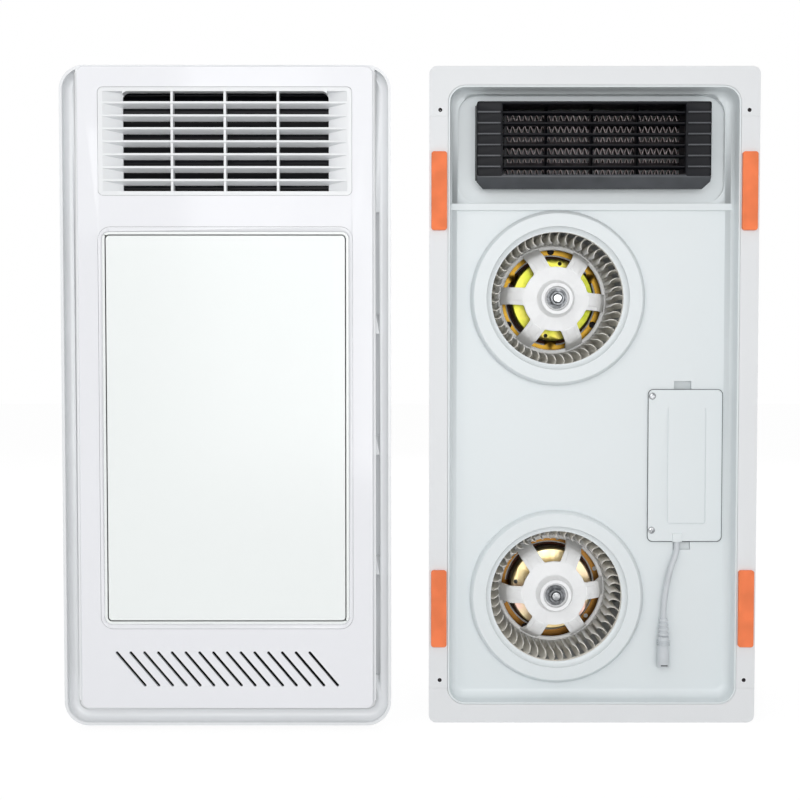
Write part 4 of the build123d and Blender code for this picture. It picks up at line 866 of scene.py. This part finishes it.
class HEATER_OT_housing(HeaterOperator, bpy.types.Operator):
    """Sheet housing, end caps, lugs and their screws"""
    bl_idname = "heater.housing"
    bl_label = "Housing"

    def execute(self, context):
        for node in ("housing_wrap", "end_cap_top", "end_cap_bottom"):
            smoothed(node, "powder", flat=True)
        for node in ("cap_screws", "hanging_lugs"):
            smoothed(node, "zinc")
        # Dark sleeves in the screw holes: painted shade.
        self.hole_shades()
        return {"FINISHED"}

    def hole_shades(self):
        """Small dark sleeves in the flange's screw holes, a painted shade for the dark inside the holes."""
        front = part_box("housing_wrap")[0].y
        outline = [(radius, front + depth) for radius, depth in HOLE_SHADE]
        bm = bmesh.new()
        for x in (-HOLE_SHADE_X, HOLE_SHADE_X):
            for z in (-HOLE_SHADE_Z, HOLE_SHADE_Z):
                add_ring(bm, outline, Vector((x, 0, z)), 24)
        place_piece("flange_hole_shades", closed_mesh(bm, "hole_shades", "bars"), "chassis", slot_of("cap_screws"))


class HEATER_OT_deck(HeaterOperator, bpy.types.Operator):
    """Moulded deck with its raised fan inlets, ridge and louvre pocket"""
    bl_idname = "heater.deck"
    bl_label = "Deck"

    def execute(self, context):
        smoothed("deck_liner", "deck", flat=True)
        smoothed("junction_lid", "deck", flat=True)
        cross_screws("lid_screws", "steel")
        # Painted shadow in the gap round the lid.
        seam("lid_seam", "junction_lid", corner=0.0045, gap=0.00045, depth=0.0004)
        self.cable_hood()
        smoothed("cushion_pads", "foam")
        return {"FINISHED"}

    def cable_hood(self):
        """Low moulded hood over the notch where the light cable leaves the lid."""
        low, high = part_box("cable_bush")
        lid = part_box("junction_lid")[0]
        bm = bmesh.new()
        place = facing(((low.x + high.x) / 2, lid.y + SINK, lid.z + HOOD_RISE))
        raised_pad(bm, place, length=high.x - low.x + HOOD_MARGIN, **CABLE_HOOD)
        bmesh.ops.recalc_face_normals(bm, faces=bm.faces)
        mesh = closed_mesh(bm, "hood", "deck")
        weigh_normals(place_piece("cable_hood", mesh, "chassis", slot_of("junction_lid")))


class HEATER_OT_fans(HeaterOperator, bpy.types.Operator):
    """Fan wheels, motors, end bells, spindles and nuts"""
    bl_idname = "heater.fans"
    bl_label = "Fans"

    def execute(self, context):
        for fan in FAN_Z:
            smoothed(f"{fan}_wheel", f"{fan} wheel")
            smoothed(f"{fan}_motor_bell", f"{fan} gold")
            smoothed(f"{fan}_motor", "zinc")
            smoothed(f"{fan}_spindle", "steel")
            self.hex_nut(fan)
            smoothed(f"{fan}_scroll", "scroll")
            self.winding(fan)
            self.spoke_pads(fan)
            self.back_ring(fan)
        cross_screws("motor_screws", "bars")
        return {"FINISHED"}

    def hex_nut(self, fan, steps=48):
        """Chamfered hexagon nut on its washer."""
        node = f"{fan}_nut"
        low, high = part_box(node)
        bore = SPINDLE_RADIUS + 0.0001
        washer = (high.x - low.x) / 2
        bm = bmesh.new()
        rings = []
        for radius, y in (
            (bore, high.y), (bore, low.y + 0.0007), (bore + 0.0006, low.y), (NUT_FLATS / 2 - 0.0004, low.y),
            (None, low.y + 0.0009), (None, high.y - 0.001), (washer, high.y - 0.001), (washer, high.y),
        ):
            ring = []
            for step in range(steps):
                angle = 2 * pi * step / steps
                flat = NUT_FLATS / 2 / cos((angle + radians(NUT_TURN)) % radians(60) - radians(30))
                reach = radius or flat
                ring.append(bm.verts.new((FAN_X + reach * cos(angle), y, FAN_Z[fan] + reach * sin(angle))))
            rings.append(ring)
        for near, far in zip(rings, rings[1:] + rings[:1]):
            for i in range(steps):
                bm.faces.new((near[i - 1], near[i], far[i], far[i - 1]))
        bmesh.ops.recalc_face_normals(bm, faces=bm.faces)
        stand_in(node, closed_mesh(bm, node, "nut", 25))

    def back_ring(self, fan):
        """Moulded ring that carries the spokes' ends and the blades' roots."""
        bm = bmesh.new()
        spun(bm, BACK_RING, Vector((FAN_X, 0, FAN_Z[fan])))
        mesh = closed_mesh(bm, "ring", f"{fan} wheel")
        place_piece(f"{fan}_back_ring", mesh, f"{fan}_fan", "wheel_plastic")

    def winding(self, fan):
        """Coil heads that show in the gap round the end bell."""
        bm = bmesh.new()
        ring = []
        for side in range(COIL_SIDES):
            a = 2 * pi / COIL_SIDES * side
            ring.append((COIL_RADIUS + COIL_HALF_WIDTH * cos(a), COIL_DEPTH + COIL_HALF_DEPTH * sin(a)))
        spun(bm, ring, Vector((FAN_X, 0, FAN_Z[fan])))
        place_piece(f"{fan}_winding", closed_mesh(bm, "winding", "winding", 80), "chassis", "zinc_steel")

    def spoke_pads(self, fan):
        """Raised pads along the sloping spokes of the hub."""
        bm = bmesh.new()
        slope = atan2(HUB_FALL, HUB_RUN)
        for spoke in range(SPOKES):
            turn = radians(360 / SPOKES * spoke + FAN_TURN[fan])
            out = Vector((cos(turn), 0, sin(turn)))
            along = out * cos(slope) + Vector((0, 1, 0)) * sin(slope)
            normal = out * sin(slope) - Vector((0, 1, 0)) * cos(slope)
            side = normal.cross(along)
            middle = Vector((FAN_X, HUB_FACE, FAN_Z[fan])) + out * HUB_EDGE + along * SPOKE_PAD_OUT
            place = Matrix((along, side, normal)).transposed().to_4x4()
            place.translation = middle
            raised_pad(bm, place, **SPOKE_PAD)
        bmesh.ops.recalc_face_normals(bm, faces=bm.faces)
        mesh = closed_mesh(bm, "pads", f"{fan} wheel")
        place_piece(f"{fan}_spoke_pads", mesh, f"{fan}_fan", "wheel_plastic")


class HEATER_OT_outlet(HeaterOperator, bpy.types.Operator):
    """Black outlet frame, swing blades, link bar, heater core and duct"""
    bl_idname = "heater.outlet"
    bl_label = "Warm-air outlet"

    def execute(self, context):
        for node in ("outlet_frame", "link_bar", "swing_motor", *[f"swing_blade_{i}" for i in range(1, 7)]):
            smoothed(node, "black")
        self.slanted_lip()
        smoothed("heater_frame", "black")
        smoothed("heater_bars", "bars")
        smoothed("hot_air_duct", "zinc")
        self.fin_strips()
        self.end_rails()
        return {"FINISHED"}

    def slanted_lip(self):
        """Painted sheen: a greyer material on the front of the outlet frame below its lowest blade."""
        mesh = bpy.data.objects["outlet_frame_finished"].data
        mesh.materials.append(finish("lip"))
        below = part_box("outlet_frame")[0].z + sizes().lip_height
        for face in mesh.polygons:
            if face.center.z < below and face.normal.y < -0.2:
                face.material_index = 1

    def end_rails(self):
        """Rails on both ends of the outlet frame, in line with the swing blades."""
        low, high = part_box("outlet_frame")
        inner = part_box("swing_blade_1")[1].x
        outer = high.x - END_MARGIN
        bm = bmesh.new()
        for blade in range(1, 7):
            bottom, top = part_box(f"swing_blade_{blade}")
            for side in (-1, 1):
                place = facing((side * (inner + outer) / 2, low.y + SINK, (bottom.z + top.z) / 2))
                raised_pad(bm, place, length=outer - inner, **END_RAIL)
        bmesh.ops.recalc_face_normals(bm, faces=bm.faces)
        # The rails take the greyer lip material, a painted highlight along their fronts.
        mesh = closed_mesh(bm, "rails", "lip")
        weigh_normals(place_piece("outlet_end_rails", mesh, "chassis", slot_of("outlet_frame")))

    def fin_strips(self):
        """Strips of thin aluminium folded into close waves, one under each swing blade."""
        low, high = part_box("heater_fins")
        folds = round((high.x - low.x) / sizes().fin_pitch)
        bm = bmesh.new()
        for row in range(FIN_ROWS):
            middle = low.z + FIN_HEIGHT / 2 + row * FIN_STEP
            verts = []
            for i in range(folds * FIN_POINTS + 1):
                x = low.x + (high.x - low.x) * i / (folds * FIN_POINTS)
                swing = sin(2 * pi * i / FIN_POINTS)
                lift = (FIN_HEIGHT / 2 - 0.0002) * (1 if swing > 0 else -1) * abs(swing) ** FIN_SQUARENESS
                verts.append(bm.verts.new((x, low.y, middle + lift)))
            edges = [bm.edges.new(pair) for pair in zip(verts, verts[1:])]
            deeper = bmesh.ops.extrude_edge_only(bm, edges=edges)["geom"]
            moved = [item for item in deeper if isinstance(item, bmesh.types.BMVert)]
            bmesh.ops.translate(bm, vec=(0, high.y - low.y, 0), verts=moved)
        bmesh.ops.recalc_face_normals(bm, faces=bm.faces)
        mesh = closed_mesh(bm, "fin_strips", "fins", 60)
        piece = place_piece("fin_strips", mesh, "chassis", "fin_aluminium", "heater_fins")
        sheet = piece.modifiers.new("strip thickness", "SOLIDIFY")
        sheet.thickness = FIN_THICKNESS
        sheet.offset = 0


class HEATER_OT_wiring(HeaterOperator, bpy.types.Operator):
    """Junction box with its contents, exhaust collar and flap, mains gland"""
    bl_idname = "heater.wiring"
    bl_label = "Wiring and duct"

    def execute(self, context):
        for node in ("terminal_block", "light_driver", "exhaust_transition"):
            smoothed(node, "scroll")
        for node in ("run_capacitor", "exhaust_collar", "exhaust_flap", "mains_gland"):
            smoothed(node, "black")
        smoothed("junction_tray", "zinc")
        smoothed("flap_pin", "steel")
        return {"FINISHED"}


class HEATER_OT_panel(HeaterOperator, bpy.types.Operator):
    """Front panel: frame, face plate, grille, light and the parts behind them"""
    bl_idname = "heater.panel"
    bl_label = "Front panel"

    def execute(self, context):
        smoothed("panel_frame", "panel")
        smoothed("face_plate", "face")
        smoothed("outlet_grille", "panel", edge=sizes().edge)
        # The black air guide and black filter are painted shade for the dark inside the panel behind its
        # grille and slots.
        smoothed("air_guide", "black")
        smoothed("intake_filter", "filter")
        smoothed("light_bezel", "face")
        moulded_plate("light_diffuser", "light_diffuser_cover", "opal", DIFFUSER_CORNER, DIFFUSER_STEPS)
        for node in ("light_tray", "keeper_plates", "panel_screws"):
            smoothed(node, "zinc")
        smoothed("light_strips", "scroll")
        smoothed("light_socket", "cable")
        return {"FINISHED"}


class HEATER_PT_sidebar(bpy.types.Panel):
    """Lists the pieces and the sizes and colours they are made with"""
    bl_label = "Bathroom heater"
    bl_idname = "HEATER_PT_sidebar"
    bl_space_type = "VIEW_3D"
    bl_region_type = "UI"
    bl_category = "Heater"

    def draw(self, context):
        for group in (sizes(), colours()):
            column = self.layout.column()
            for name in group.__annotations__:
                column.prop(group, name)
        for operator in OPERATORS:
            self.layout.operator(operator.bl_idname)


OPERATORS = (
    HEATER_OT_stage, HEATER_OT_light_cable, HEATER_OT_housing, HEATER_OT_deck, HEATER_OT_fans,
    HEATER_OT_outlet, HEATER_OT_wiring, HEATER_OT_panel,
)
CLASSES = (HeaterColours, HeaterSizes, *OPERATORS, HEATER_PT_sidebar)


def register():
    for item in CLASSES:
        bpy.utils.register_class(item)
    bpy.types.Scene.heater_colours = PointerProperty(type=HeaterColours)
    bpy.types.Scene.heater_sizes = PointerProperty(type=HeaterSizes)


def unregister():
    del bpy.types.Scene.heater_sizes
    del bpy.types.Scene.heater_colours
    for item in reversed(CLASSES):
        bpy.utils.unregister_class(item)


def main():
    register()
    bpy.ops.heater.stage()
    bpy.ops.heater.light_cable()
    bpy.ops.heater.housing()
    bpy.ops.heater.deck()
    bpy.ops.heater.fans()
    bpy.ops.heater.outlet()
    bpy.ops.heater.wiring()
    bpy.ops.heater.panel()


if __name__ == "__main__":
    main()
